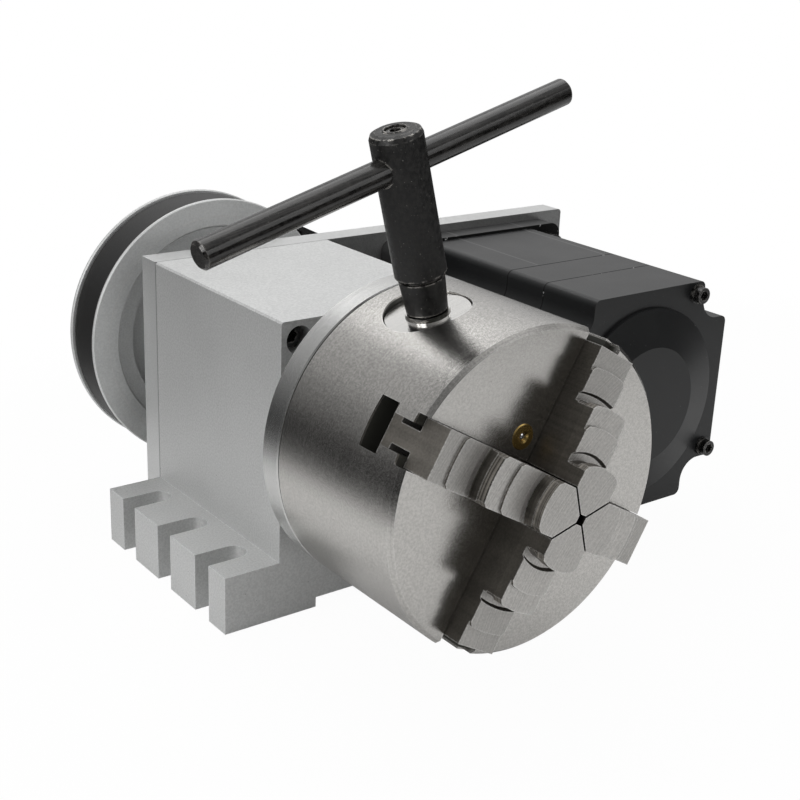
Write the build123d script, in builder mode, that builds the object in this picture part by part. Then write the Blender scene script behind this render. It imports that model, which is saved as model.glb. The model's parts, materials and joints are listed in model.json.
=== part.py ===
from build123d import *
import os
from math import cos, pi, radians, sin, tan

# A belt driven rotary axis: a headstock on a slotted foot carries a hollow spindle with a
# four jaw scroll chuck in front, a toothed pulley behind, and a motor beside it.
# X runs to the motor side, Y to the rear, Z up. The origin is on the bench, under the
# spindle axis, half way along the headstock.
os.makedirs("parts", exist_ok=True)

# Headstock block and slotted foot
centre_height = 65.0
block_half_width = 36.0
block_above_axis = 36.0
block_depth = 82.0
foot_half_width = 56.0
foot_height = 20.0
foot_slot_width = 9.0
foot_slot_reach = 16.1
foot_slot_pitch = 26.0
relief_width = 43.0
relief_height = 3.5
block_bore_radius = 27.0

# Plate behind the headstock that carries the motor
plate_thickness = 10.0
plate_right_edge = 155.5
plate_below_axis = 56.0
plate_corner = 1.5
plate_screw_spacing = 59.0
plate_screw_size = 5.0
plate_screw_head_sunk = 10.0
plate_screw_engagement = 8.0

# Spindle and its two ball bearings
spindle_bore = 22.0
spindle_seat = 35.0
spindle_flange_diameter = 56.0
spindle_flange_thickness = 6.0
spindle_rear_diameter = 32.0
bearing_outside = 62.0
bearing_width = 14.0
bearing_ball = 7.9
bearing_ball_count = 11
front_bearing_set_back = 4.0
lock_nut_diameter = 52.0
lock_nut_width = 9.0

# Round adapter between spindle and chuck
gap_behind_adapter = 12.0
adapter_thickness = 9.5
adapter_screw_circle = 46.0
register_diameter = 72.0
register_height = 3.0
seam_width = 0.9
seam_depth = 2.0
chuck_bolt_circle = 88.0
chuck_bolt_size = 6.0

# Four jaw chuck, measured in depth behind its front face
chuck_diameter = 100.0
chuck_length = 55.0
chuck_bore = 22.4
chuck_edge_chamfer = 1.3
jaw_count = 4
first_jaw_angle = 60.0
slot_width = 15.2
neck_width = 9.3
slot_front_depth = 4.0
neck_depth = 12.0
pocket_depth = 20.0
cavity_depth = 16.5
cavity_diameter = 79.0
hub_diameter = 30.0

# Jaws
jaw_side_clearance = 0.15
jaw_height = 20.4
jaw_step = 7.0
step_radius_inner = 15.6
step_radius_outer = 31.0
jaw_reach = 46.0
jaw_head_reach = 46.0
ledge_width = 9.5
ledge_height = 0.8
step_groove_width = 2.1
step_groove_depth = 1.0
step_neck_depth = 0.6
step_neck_height = 2.4
jaw_travel = 13.5
jaw_gap = 0.45
jaw_web_width = 6.2

# Scroll: a flat spiral thread in front, bevel teeth behind
scroll_pitch = 6.0
thread_width = 2.6
thread_height = 3.5
jaw_tooth_thickness = 2.1
jaw_tooth_width = 8.0
first_ridge_radius = 16.5
ridge_quarter_turns = 13
scroll_web = 4.0
scroll_teeth = 48
pinion_teeth = 12
gear_outer_radius = 37.0
gear_face = 8.0
gear_backlash_share = 0.16
gear_addendum_share = 0.62
gear_dedendum_share = 0.95

# Pinion that a key turns
pinion_angle = 105.0
pinion_depth = 35.5
pinion_flange_diameter = 26.2
pinion_flange_thickness = 6.4
pinion_face_radius = 47.9
pinion_collar_diameter = 13.6
pinion_collar_height = 1.2
square_drive = 8.0
square_depth = 11.0
lock_screw_size = 4.0

# Tee handled key
key_turn = 2.7
key_diameter = 15.2
key_top_radius = 103.2
key_groove_radius = 60.2
key_groove_width = 1.4
key_lower_diameter = 13.6
key_tip_diameter = 12.2
key_bar_radius = 93.1
key_bar_diameter = 8.0
key_bar_length = 130.0
key_bar_shift = -1.6
key_crown = 1.8
grub_radius = 3.0
grub_rim_height = 0.3
grub_sunk = 0.2

# Brass oiler in the chuck face
oiler_radius_out = 19.3
oiler_diameter = 7.8
oiler_depth = 7.0
oiler_ball = 3.0

# Belt drive
belt_tooth_pitch = 5.0
driven_teeth = 60
driving_teeth = 15
belt_tip_drop = 1.14
tooth_groove_radius = 1.5
belt_width = 15.0
belt_thickness = 1.9
belt_side_play = 1.0
pulley_gap = 12.0
pulley_rim = 1.5
pulley_rim_radius = 50.4
small_rim_radius = 15.5

# Motor
motor_x = 104.0
motor_below_axis = 10.0
motor_flange_size = 86.0
motor_flange_thickness = 9.0
motor_bolt_spacing = 69.6
motor_pilot_diameter = 73.0
motor_pilot_height = 2.0
motor_half_width = 42.0
ear_far = 28.5
ear_near = 27.0
notch_radius = 8.0
motor_body_length = 47.5
motor_mid_length = 19.5
motor_cap_length = 26.0
motor_wall = 3.0
dome_base_radius = 35.5
dome_top_radius = 22.0
dome_step = 1.3
dome_height = 4.5
cap_screw_x = 24.5
cap_screw_z = 37.5
cap_washer_thickness = 0.8
cap_washer_radius = 3.6
rotor_diameter = 44.0
motor_shaft = 14.0
motor_journal = 15.0
motor_bearing_outside = 35.0
motor_bearing_width = 11.0
slot_travel = 4.0

# Clearances
screw_hole_clearance = 0.25
thread_clearance = 0.05
running_clearance = 0.05
free_clearance = 0.3

# Places that follow from the sizes above
block_front = -block_depth / 2
block_rear = block_depth / 2
plate_rear = block_rear + plate_thickness
adapter_rear = block_front - gap_behind_adapter
chuck_rear = adapter_rear - adapter_thickness
chuck_face = chuck_rear - chuck_length
motor_z = centre_height - motor_below_axis
jaw_angles = [first_jaw_angle + 360 / jaw_count * i for i in range(jaw_count)]
belt_front = plate_rear + pulley_gap + pulley_rim + belt_side_play
pulley_front = plate_rear + pulley_gap
pulley_rear = pulley_front + 2 * (pulley_rim + belt_side_play) + belt_width
spindle_rear = pulley_rear + 4.0


def turning_plane(x=0.0, z=centre_height):
    """Sketch plane through an axis along Y: first coordinate is y, second is radius."""
    return Plane(origin=(x, 0, z), x_dir=(0, 1, 0), z_dir=(1, 0, 0))


def front_plane(y, x=0.0, z=centre_height, turn=0.0):
    """Plane across the axis at depth y, facing forward, turned about the axis."""
    across = (cos(radians(turn)), 0, sin(radians(turn)))
    return Plane(origin=(x, y, z), x_dir=across, z_dir=(0, -1, 0))


def radial_plane(radius, y, angle, turn=0.0):
    """Plane facing outwards at a radius from the spindle axis, turned about its normal."""
    out = Vector(cos(radians(angle)), 0, sin(radians(angle)))
    side = Vector(sin(radians(angle)), 0, -cos(radians(angle)))
    origin = Vector(0, y, centre_height) + out * radius
    plane = Plane(origin=origin, x_dir=side, z_dir=out)
    return plane.rotated((0, 0, turn))


def turned(points, x=0.0, z=centre_height, mode=Mode.ADD):
    """Turn a closed profile of (y, radius) corners about an axis along Y."""
    with BuildSketch(turning_plane(x, z)) as profile:
        with BuildLine():
            Polyline(*points, close=True)
        make_face()
    revolve(profile.sketch, axis=Axis((x, 0, z), (0, 1, 0)), mode=mode)


def tube(rear, front, inner, outer, x=0.0, z=centre_height, mode=Mode.ADD):
    """A plain ring between two depths and two radii."""
    turned([(rear, inner), (rear, outer), (front, outer), (front, inner)], x, z, mode)


def drill(plane, diameter, depth, mode=Mode.SUBTRACT):
    """A round cut, or a round bar, running inwards from a plane."""
    with BuildSketch(plane) as circle:
        Circle(diameter / 2)
    extrude(circle.sketch, amount=-depth, mode=mode)


def socket_screw(seat, size, length, head_scale=1.65, head_height=1.0):
    """Socket head screw: head outwards of its seat, shank inwards."""
    head_radius = size * head_scale / 2
    drill(seat, size, length, Mode.ADD)
    with BuildSketch(seat) as head:
        Circle(head_radius)
    extrude(head.sketch, amount=size * head_height)
    with BuildSketch(seat.offset(size * head_height)) as socket:
        RegularPolygon(size * 0.47, 6)
    extrude(socket.sketch, amount=-size * head_height * 0.55, mode=Mode.SUBTRACT)


def socket_screw_hole(seat, size, length, sunk, head_scale=1.65):
    """Clearance hole with a round recess for the head."""
    drill(seat, size + 2 * screw_hole_clearance, length)
    drill(seat.offset(sunk), size * head_scale + 1.0, sunk)


# Headstock: foot, block and bore in one machined piece
plate_screw_seats = [
    front_plane(block_front + plate_screw_head_sunk, sx * plate_screw_spacing / 2,
                centre_height + sz * plate_screw_spacing / 2)
    for sx in (-1, 1) for sz in (-1, 1)
]
front_bearing_front = block_front + front_bearing_set_back
front_bearing_rear = front_bearing_front + bearing_width
rear_bearing_front = block_rear - bearing_width
foot_slot_places = [(side, step * foot_slot_pitch) for side in (-1, 1) for step in (-1, 0, 1)]

with BuildPart() as headstock:
    with BuildSketch(front_plane(block_rear, z=0)) as section:
        with Locations((0, foot_height / 2)):
            Rectangle(2 * foot_half_width, foot_height)
        block_height = centre_height + block_above_axis
        with Locations((0, block_height / 2)):
            Rectangle(2 * block_half_width, block_height)
        with Locations((0, relief_height / 2)):
            Rectangle(relief_width, relief_height, mode=Mode.SUBTRACT)
    extrude(amount=block_depth)
    long_edges = headstock.edges().filter_by(Axis.Y)
    chamfer(long_edges.group_by(Axis.Z)[-1], length=0.6)
    with BuildSketch(Plane.XY) as slots:
        for side, y in foot_slot_places:
            reach = foot_half_width - foot_slot_reach + foot_slot_width / 2
            with Locations((side * (reach + foot_half_width) / 2, y)):
                Rectangle(foot_half_width - reach, foot_slot_width)
            with Locations((side * reach, y)):
                Circle(foot_slot_width / 2)
    extrude(amount=foot_height, mode=Mode.SUBTRACT)
    tube(block_rear, block_front, 0, block_bore_radius, mode=Mode.SUBTRACT)
    tube(front_bearing_rear, block_front, 0, bearing_outside / 2, mode=Mode.SUBTRACT)
    tube(block_rear, rear_bearing_front, 0, bearing_outside / 2, mode=Mode.SUBTRACT)
    ring_groove_front = block_front + front_bearing_set_back - 2.0
    tube(front_bearing_front, ring_groove_front, 0, bearing_outside / 2 + 1.2, mode=Mode.SUBTRACT)
    for seat in plate_screw_seats:
        socket_screw_hole(seat, plate_screw_size, block_depth, plate_screw_head_sunk)
headstock.part.label = "headstock_housing"
export_step(headstock.part, "parts/headstock_housing.step")

# Rear plate: flush with the block on the left and on top, long enough to carry the motor
plate_left = -block_half_width
plate_width = plate_right_edge - plate_left
plate_bottom = centre_height - plate_below_axis
plate_top = centre_height + block_above_axis
motor_bolt_places = [
    (motor_x + sx * motor_bolt_spacing / 2, motor_z + sz * motor_bolt_spacing / 2)
    for sx in (-1, 1) for sz in (-1, 1)
]
motor_bolt_size = 6.0
plate_bore_radius = lock_nut_diameter / 2 + 1.0

with BuildPart() as rear_plate:
    with BuildSketch(front_plane(plate_rear, z=0)) as outline:
        with Locations((plate_left + plate_width / 2, (plate_top + plate_bottom) / 2)):
            Rectangle(plate_width, plate_top - plate_bottom)
        right_corners = outline.vertices().group_by(Axis.X)[-1]
        fillet(right_corners, plate_corner)
    extrude(amount=plate_thickness)
    tube(plate_rear, block_rear, 0, plate_bore_radius, mode=Mode.SUBTRACT)
    with BuildSketch(front_plane(plate_rear, z=0)) as cuts:
        pilot = motor_pilot_diameter + 2 * free_clearance
        with Locations((motor_x, motor_z)):
            SlotOverall(pilot + 2 * slot_travel, pilot)
        bolt_slot = motor_bolt_size + 2 * screw_hole_clearance
        with Locations(*motor_bolt_places):
            SlotOverall(bolt_slot + 2 * slot_travel, bolt_slot)
    extrude(amount=plate_thickness, mode=Mode.SUBTRACT)
    for seat in plate_screw_seats:
        drill(seat.offset(plate_screw_head_sunk - block_depth),
              plate_screw_size + 2 * thread_clearance, plate_thickness)
rear_plate.part.label = "rear_motor_plate"
export_step(rear_plate.part, "parts/rear_motor_plate.step")

plate_screw_length = block_depth - plate_screw_head_sunk + plate_screw_engagement
with BuildPart() as plate_screws:
    for seat in plate_screw_seats:
        socket_screw(seat, plate_screw_size, plate_screw_length)
plate_screws.part.label = "plate_screws"
export_step(plate_screws.part, "parts/plate_screws.step")

# Spindle: flange in front, two bearing seats, a smaller rear end for the pulley
flange_front = adapter_rear
flange_rear = flange_front + spindle_flange_thickness
seat_radius = spindle_seat / 2
rear_radius = spindle_rear_diameter / 2
bore_radius = spindle_bore / 2
shoulder_radius = seat_radius + 4.0
nut_front = plate_rear + 1.0
nut_rear = nut_front + lock_nut_width
pulley_key_width = 5.0
pulley_key_height = 5.0
pulley_key_length = 14.0
pulley_key_y = (pulley_front + pulley_rear) / 2
circlip_width = 1.5
circlip_front = pulley_rear + 0.2
adapter_screw_size = 5.0
adapter_screw_angles = [first_jaw_angle + 45 + 90 * i for i in range(4)]


def circle_seat(y, circle_diameter, angle):
    """Plane facing forward at a place on a bolt circle round the spindle."""
    x = circle_diameter / 2 * cos(radians(angle))
    z = centre_height + circle_diameter / 2 * sin(radians(angle))
    return front_plane(y, x, z)


with BuildPart() as spindle:
    turned([
        (spindle_rear, bore_radius), (spindle_rear, rear_radius - 1), (spindle_rear - 1, rear_radius),
        (pulley_front, rear_radius), (pulley_front, seat_radius), (front_bearing_front, seat_radius),
        (front_bearing_front, shoulder_radius), (flange_rear, shoulder_radius),
        (flange_rear, spindle_flange_diameter / 2), (flange_front, spindle_flange_diameter / 2),
        (flange_front, seat_radius), (chuck_rear, seat_radius), (chuck_rear, bore_radius),
    ])
    tube(circlip_front + circlip_width, circlip_front, rear_radius - 1.0, rear_radius + 1,
         mode=Mode.SUBTRACT)
    key_bed = Plane.XY.offset(centre_height + rear_radius + 1)
    with BuildSketch(key_bed) as key_slot:
        with Locations((0, pulley_key_y)):
            RectangleRounded(pulley_key_width, pulley_key_length, pulley_key_width / 2 - 0.01)
    extrude(amount=-1 - pulley_key_height / 2, mode=Mode.SUBTRACT)
    for angle in adapter_screw_angles:
        drill(circle_seat(flange_front, adapter_screw_circle, angle),
              adapter_screw_size + 2 * thread_clearance, spindle_flange_thickness)
spindle.part.label = "spindle_shaft"
export_step(spindle.part, "parts/spindle_shaft.step")

with BuildPart() as pulley_key:
    with BuildSketch(key_bed.offset(-1 - pulley_key_height / 2)):
        with Locations((0, pulley_key_y)):
            RectangleRounded(pulley_key_width, pulley_key_length, pulley_key_width / 2 - 0.01)
    extrude(amount=pulley_key_height)
pulley_key.part.label = "pulley_key"
export_step(pulley_key.part, "parts/pulley_key.step")

# Two deep groove ball bearings of one size
ball_radius = bearing_ball / 2
ball_circle = (seat_radius + bearing_outside / 2) / 2
groove_radius = ball_radius + running_clearance
inner_land = ball_circle - ball_radius * 0.75
outer_land = ball_circle + ball_radius * 0.75
bearing_fronts = {"front": front_bearing_front, "rear": rear_bearing_front}


def bearing_ring(front, width, inner, outer, groove, groove_size, x=0.0, z=centre_height):
    """A bearing ring with a ball groove half way along."""
    with BuildSketch(turning_plane(x, z)) as profile:
        with Locations((front + width / 2, (inner + outer) / 2)):
            Rectangle(width, outer - inner)
        with Locations((front + width / 2, groove)):
            Circle(groove_size, mode=Mode.SUBTRACT)
    revolve(profile.sketch, axis=Axis((x, 0, z), (0, 1, 0)))


def ball_ring(y, circle, radius, count, x=0.0, z=centre_height):
    """Balls spaced evenly round an axis along Y, with none at the very top."""
    for i in range(count):
        turn = pi / 2 + 2 * pi * (i + 0.5) / count
        with Locations((x + circle * cos(turn), y, z + circle * sin(turn))):
            Sphere(radius)


for place, front in bearing_fronts.items():
    with BuildPart() as outer_ring:
        bearing_ring(front, bearing_width, outer_land, bearing_outside / 2, ball_circle, groove_radius)
    outer_ring.part.label = f"{place}_bearing_outer_ring"
    export_step(outer_ring.part, f"parts/{place}_bearing_outer_ring.step")

    with BuildPart() as inner_ring:
        bearing_ring(front, bearing_width, seat_radius, inner_land, ball_circle, groove_radius)
    inner_ring.part.label = f"{place}_bearing_inner_ring"
    export_step(inner_ring.part, f"parts/{place}_bearing_inner_ring.step")

with BuildPart() as bearing_balls:
    for front in bearing_fronts.values():
        ball_ring(front + bearing_width / 2, ball_circle, ball_radius, bearing_ball_count)
bearing_balls.part.label = "bearing_balls"
export_step(bearing_balls.part, "parts/bearing_balls.step")

cage_half_width = ball_radius + 0.8
with BuildPart() as cages:
    for front in bearing_fronts.values():
        middle = front + bearing_width / 2
        tube(middle + cage_half_width, middle - cage_half_width, ball_circle - 0.9, ball_circle + 0.9)
        for i in range(bearing_ball_count):
            turn = 90 + 360 * (i + 0.5) / bearing_ball_count
            drill(radial_plane(ball_circle + 3, middle, turn), 2 * groove_radius, 6)
cages.part.label = "bearing_cages"
export_step(cages.part, "parts/bearing_cages.step")

# Spacer between the inner rings, sleeve and slotted nut that clamp them
with BuildPart() as bearing_spacer:
    tube(rear_bearing_front, front_bearing_rear, seat_radius, inner_land)
bearing_spacer.part.label = "bearing_spacer"
export_step(bearing_spacer.part, "parts/bearing_spacer.step")

with BuildPart() as nut_sleeve:
    tube(nut_front, block_rear, seat_radius, inner_land)
nut_sleeve.part.label = "clamp_sleeve"
export_step(nut_sleeve.part, "parts/clamp_sleeve.step")

nut_slot_width = 5.0
nut_slot_depth = 2.5
with BuildPart() as lock_nut:
    tube(nut_rear, nut_front, seat_radius, lock_nut_diameter / 2)
    chamfer(lock_nut.edges().filter_by(GeomType.CIRCLE).sort_by(SortBy.RADIUS)[-2:], length=0.8)
    with BuildSketch(front_plane(nut_rear)) as nut_slots:
        with PolarLocations(lock_nut_diameter / 2, 4):
            Rectangle(2 * nut_slot_depth, nut_slot_width)
    extrude(amount=lock_nut_width, mode=Mode.SUBTRACT)
lock_nut.part.label = "spindle_lock_nut"
export_step(lock_nut.part, "parts/spindle_lock_nut.step")

# Internal retaining ring and rubber seal in front of the front bearing
with BuildPart() as front_circlip:
    ring_back = front_bearing_front - 0.1
    tube(ring_back, ring_groove_front + 0.1, bearing_outside / 2 - 3.5, bearing_outside / 2 + 1.0)
    with BuildSketch(front_plane(ring_back)) as ring_gap:
        with Locations((0, -bearing_outside / 2)):
            Rectangle(9, 12)
    extrude(amount=3, mode=Mode.SUBTRACT)
front_circlip.part.label = "front_retaining_ring"
export_step(front_circlip.part, "parts/front_retaining_ring.step")

seal_front = flange_rear
seal_rear = block_front - free_clearance
with BuildPart() as seal:
    turned([
        (seal_front, shoulder_radius), (seal_front, shoulder_radius + 4.5),
        (seal_front + 2.4, shoulder_radius + 5.5), (seal_rear, shoulder_radius + 8.5),
        (seal_rear, shoulder_radius + 6.5), (seal_rear - 1.6, shoulder_radius + 3.0),
        (seal_rear - 1.0, shoulder_radius),
    ])
seal.part.label = "front_seal"
export_step(seal.part, "parts/front_seal.step")

# Adapter between the spindle flange and the chuck
adapter_radius = chuck_diameter / 2
adapter_screw_seat = chuck_rear - register_height + adapter_screw_size + 0.5
chuck_bolt_sunk = chuck_bolt_size + 0.3
chuck_bolt_backs = []
for angle in jaw_angles:
    x = chuck_bolt_circle / 2 * cos(radians(angle))
    z = centre_height + chuck_bolt_circle / 2 * sin(radians(angle))
    chuck_bolt_backs.append(Plane(origin=(x, adapter_rear - chuck_bolt_sunk, z),
                                  x_dir=(1, 0, 0), z_dir=(0, 1, 0)))
with BuildPart() as adapter:
    tube(adapter_rear, chuck_rear, seat_radius + running_clearance, adapter_radius)
    tube(chuck_rear + seam_width, chuck_rear, adapter_radius - seam_depth, adapter_radius,
         mode=Mode.SUBTRACT)
    adapter_rims = adapter.edges().filter_by(GeomType.CIRCLE).sort_by(SortBy.RADIUS)[-2:]
    chamfer(adapter_rims, length=0.5)
    tube(chuck_rear, chuck_rear - register_height, seat_radius + running_clearance,
         register_diameter / 2)
    for angle in adapter_screw_angles:
        face_seat = circle_seat(adapter_screw_seat, adapter_screw_circle, angle)
        socket_screw_hole(face_seat, adapter_screw_size, adapter_thickness, adapter_screw_size + 0.5)
    for back in chuck_bolt_backs:
        socket_screw_hole(back, chuck_bolt_size, adapter_thickness, chuck_bolt_sunk)
adapter.part.label = "chuck_adapter"
export_step(adapter.part, "parts/chuck_adapter.step")

with BuildPart() as adapter_screws:
    for angle in adapter_screw_angles:
        socket_screw(circle_seat(adapter_screw_seat, adapter_screw_circle, angle),
                     adapter_screw_size, flange_rear - adapter_screw_seat - 0.5)
adapter_screws.part.label = "adapter_screws"
export_step(adapter_screws.part, "parts/adapter_screws.step")

chuck_bolt_length = 16.0
with BuildPart() as chuck_bolts:
    for back in chuck_bolt_backs:
        socket_screw(back, chuck_bolt_size, chuck_bolt_length)
chuck_bolts.part.label = "chuck_bolts"
export_step(chuck_bolts.part, "parts/chuck_bolts.step")


def depth(behind_face):
    """The y of a depth behind the chuck's front face."""
    return chuck_face + behind_face


# Chuck body: a cup open to the rear, crossed by four stepped jaw slots
pinion_y = depth(pinion_depth)
cavity_radius = cavity_diameter / 2
hub_radius = hub_diameter / 2
pinion_bore = pinion_flange_diameter + 2 * running_clearance
pinion_bore_start = cavity_radius - 2.5
pinion_x = cos(radians(pinion_angle))
pinion_z = sin(radians(pinion_angle))
lock_screw_radius = pinion_face_radius - 3.2
oiler_x = oiler_radius_out * pinion_x
oiler_z = centre_height + oiler_radius_out * pinion_z
tapped_depth = chuck_bolt_length - (adapter_thickness - chuck_bolt_sunk) + 1.0

with BuildPart() as chuck_body:
    tube(chuck_rear, chuck_face, chuck_bore / 2, chuck_diameter / 2)
    front_rim = chuck_body.edges().filter_by(GeomType.CIRCLE).group_by(Axis.Y)[0]
    chamfer(front_rim.sort_by(SortBy.RADIUS)[-1], length=chuck_edge_chamfer)
    tube(chuck_rear, depth(cavity_depth), hub_radius, cavity_radius, mode=Mode.SUBTRACT)
    for angle in jaw_angles:
        for start, end, width, near in (
            (0, slot_front_depth, slot_width, 0), (slot_front_depth, neck_depth, neck_width, 0),
            (neck_depth, cavity_depth, slot_width, 0),
            (cavity_depth, pocket_depth, slot_width, pinion_bore_start),
        ):
            far = chuck_diameter / 2 + 5
            with BuildSketch(front_plane(depth(start), turn=angle)) as slot:
                with Locations(((near + far) / 2, 0)):
                    Rectangle(far - near, width)
            extrude(slot.sketch, amount=start - end, mode=Mode.SUBTRACT)
    wall_plane = radial_plane(chuck_diameter / 2 + 5, pinion_y, pinion_angle)
    drill(wall_plane, pinion_bore, chuck_diameter / 2 + 5 - pinion_bore_start)
    for angle in jaw_angles:
        drill(circle_seat(chuck_rear, chuck_bolt_circle, angle).offset(tapped_depth),
              chuck_bolt_size + 2 * thread_clearance, tapped_depth)
    lock_seat = circle_seat(pinion_y, 2 * lock_screw_radius, pinion_angle)
    drill(lock_seat, lock_screw_size + 2 * thread_clearance, chuck_rear - pinion_y)
    tube(depth(oiler_depth), chuck_face, 0, oiler_diameter / 2, oiler_x, oiler_z, Mode.SUBTRACT)
    tube(depth(cavity_depth), depth(oiler_depth), 0, 1.0, oiler_x, oiler_z, Mode.SUBTRACT)
chuck_body.part.label = "chuck_body"
export_step(chuck_body.part, "parts/chuck_body.step")

# Bevel gearing: both pitch cones meet where the two axes cross
cone_rise = pinion_teeth / scroll_teeth
gear_inner_radius = gear_outer_radius - gear_face
pinion_axis = Axis((0, pinion_y, centre_height), (pinion_x, 0, pinion_z))
spindle_axis = Axis((0, 0, centre_height), (0, 1, 0))
flank_slope = tan(radians(25))


def tooth_sizes(radius):
    """Pitch radius of the pinion, addendum, dedendum and half thickness at a scroll radius."""
    pitch_radius = radius * cone_rise
    module = 2 * pitch_radius / pinion_teeth
    half = pi * module / 4 * (1 - gear_backlash_share)
    return pitch_radius, module * gear_addendum_share, module * gear_dedendum_share, half


def tooth_section(radius, rise):
    """Trapezoid of one tooth: rise is +1 outwards from the pinion, -1 towards it."""
    pitch, addendum, dedendum, half = tooth_sizes(radius)
    root_depth = dedendum + 0.3
    root = -pitch + rise * root_depth
    tip = -pitch - rise * addendum
    root_half = half + root_depth * flank_slope
    tip_half = half - addendum * flank_slope
    with BuildSketch(radial_plane(radius, pinion_y, pinion_angle)) as section:
        with BuildLine():
            Polyline((-root_half, root), (root_half, root), (tip_half, tip), (-tip_half, tip),
                     close=True)
        make_face()
    return section.sketch


def tooth(rise):
    """One straight bevel tooth between the inner and outer gear radius."""
    ends = (gear_inner_radius, gear_outer_radius)
    return loft([tooth_section(radius, rise) for radius in ends], mode=Mode.PRIVATE)


def turned_radial(points, mode=Mode.ADD):
    """Turn a closed profile of (distance from spindle, radius) about the pinion axis."""
    out = (pinion_x, 0, pinion_z)
    side = (pinion_z, 0, -pinion_x)
    with BuildSketch(Plane(origin=(0, pinion_y, centre_height), x_dir=out, z_dir=side)) as profile:
        with BuildLine():
            Polyline(*points, close=True)
        make_face()
    revolve(profile.sketch, axis=pinion_axis, mode=mode)


# Cover behind the scroll, with a channel for the pinion and the register recess
cover_front = depth(pinion_depth - gear_inner_radius * cone_rise + 1.9)
cover_radius = cavity_radius - running_clearance
stub_radius = 4.0
stub_end = gear_inner_radius - 9.0
channel_start = gear_inner_radius - 0.4
with BuildPart() as chuck_cover:
    tube(chuck_rear, cover_front, hub_radius + running_clearance, cover_radius)
    register_bore = register_diameter / 2 + running_clearance
    tube(chuck_rear, chuck_rear - register_height - free_clearance, 0, register_bore,
         mode=Mode.SUBTRACT)
    turned_radial([(channel_start, 0), (channel_start, pinion_bore / 2 + 0.2),
                   (cavity_radius + 5, pinion_bore / 2 + 0.2), (cavity_radius + 5, 0)], Mode.SUBTRACT)
    turned_radial([(0, 0), (0, stub_radius + running_clearance),
                   (cavity_radius, stub_radius + running_clearance), (cavity_radius, 0)], Mode.SUBTRACT)
chuck_cover.part.label = "chuck_back_cover"
export_step(chuck_cover.part, "parts/chuck_back_cover.step")

with BuildPart() as lock_screw:
    lock_tip = pinion_y + pinion_flange_diameter / 2 - 1.2
    tube(chuck_rear - 0.5, lock_tip + 2.5, 0, lock_screw_size / 2,
         lock_screw_radius * pinion_x, centre_height + lock_screw_radius * pinion_z)
    tube(lock_tip + 2.5, lock_tip, 0, lock_screw_size / 2 - 0.7,
         lock_screw_radius * pinion_x, centre_height + lock_screw_radius * pinion_z)
lock_screw.part.label = "pinion_lock_screw"
export_step(lock_screw.part, "parts/pinion_lock_screw.step")

# Scroll: the spiral is made of quarter circles about four centres
thread_front = depth(cavity_depth + 0.2)
thread_root = thread_front + thread_height
scroll_radius = cavity_radius - free_clearance
scroll_bore = hub_radius + running_clearance
quarter_step = scroll_pitch / 4
centre_square = [(-0.5, 0.5), (-0.5, -0.5), (0.5, -0.5), (0.5, 0.5)]


def gear_root_y(radius):
    """Depth of the tooth roots of the scroll."""
    pitch, _, dedendum, _ = tooth_sizes(radius)
    return pinion_y - pitch - dedendum


with BuildPart() as scroll:
    turned([
        (thread_root, scroll_bore), (thread_root, scroll_radius),
        (gear_root_y(gear_outer_radius), scroll_radius),
        (gear_root_y(gear_outer_radius), gear_outer_radius),
        (gear_root_y(gear_inner_radius), gear_inner_radius),
        (gear_root_y(gear_inner_radius), hub_radius + 6),
        (cover_front - free_clearance, hub_radius + 6), (cover_front - free_clearance, scroll_bore),
    ])
    with BuildSketch(front_plane(thread_root, turn=first_jaw_angle - 45)) as thread:
        with BuildLine():
            for wall in (0, thread_width):
                for k in range(ridge_quarter_turns):
                    cx, cz = centre_square[k % 4]
                    CenterArc((cx * quarter_step, cz * quarter_step),
                              first_ridge_radius + k * quarter_step + wall, 90 * k, 90)
            inner_start = Vector(first_ridge_radius - quarter_step / 2, quarter_step / 2)
            last = ridge_quarter_turns - 1
            cx, cz = centre_square[last % 4]
            end_angle = radians(90 * (last + 1))
            end_centre = Vector(cx * quarter_step, cz * quarter_step)
            end_direction = Vector(cos(end_angle), sin(end_angle))
            end_inner = end_centre + end_direction * (first_ridge_radius + last * quarter_step)
            Line(inner_start, inner_start + Vector(thread_width, 0))
            Line(end_inner, end_inner + end_direction * thread_width)
        make_face()
    extrude(thread.sketch, amount=thread_height)
    bevel_tooth = tooth(-1)
    for i in range(scroll_teeth):
        add(bevel_tooth.rotate(spindle_axis, 360 / scroll_teeth * (i + 0.5)))
scroll.part.label = "scroll_plate"
export_step(scroll.part, "parts/scroll_plate.step")

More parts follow.
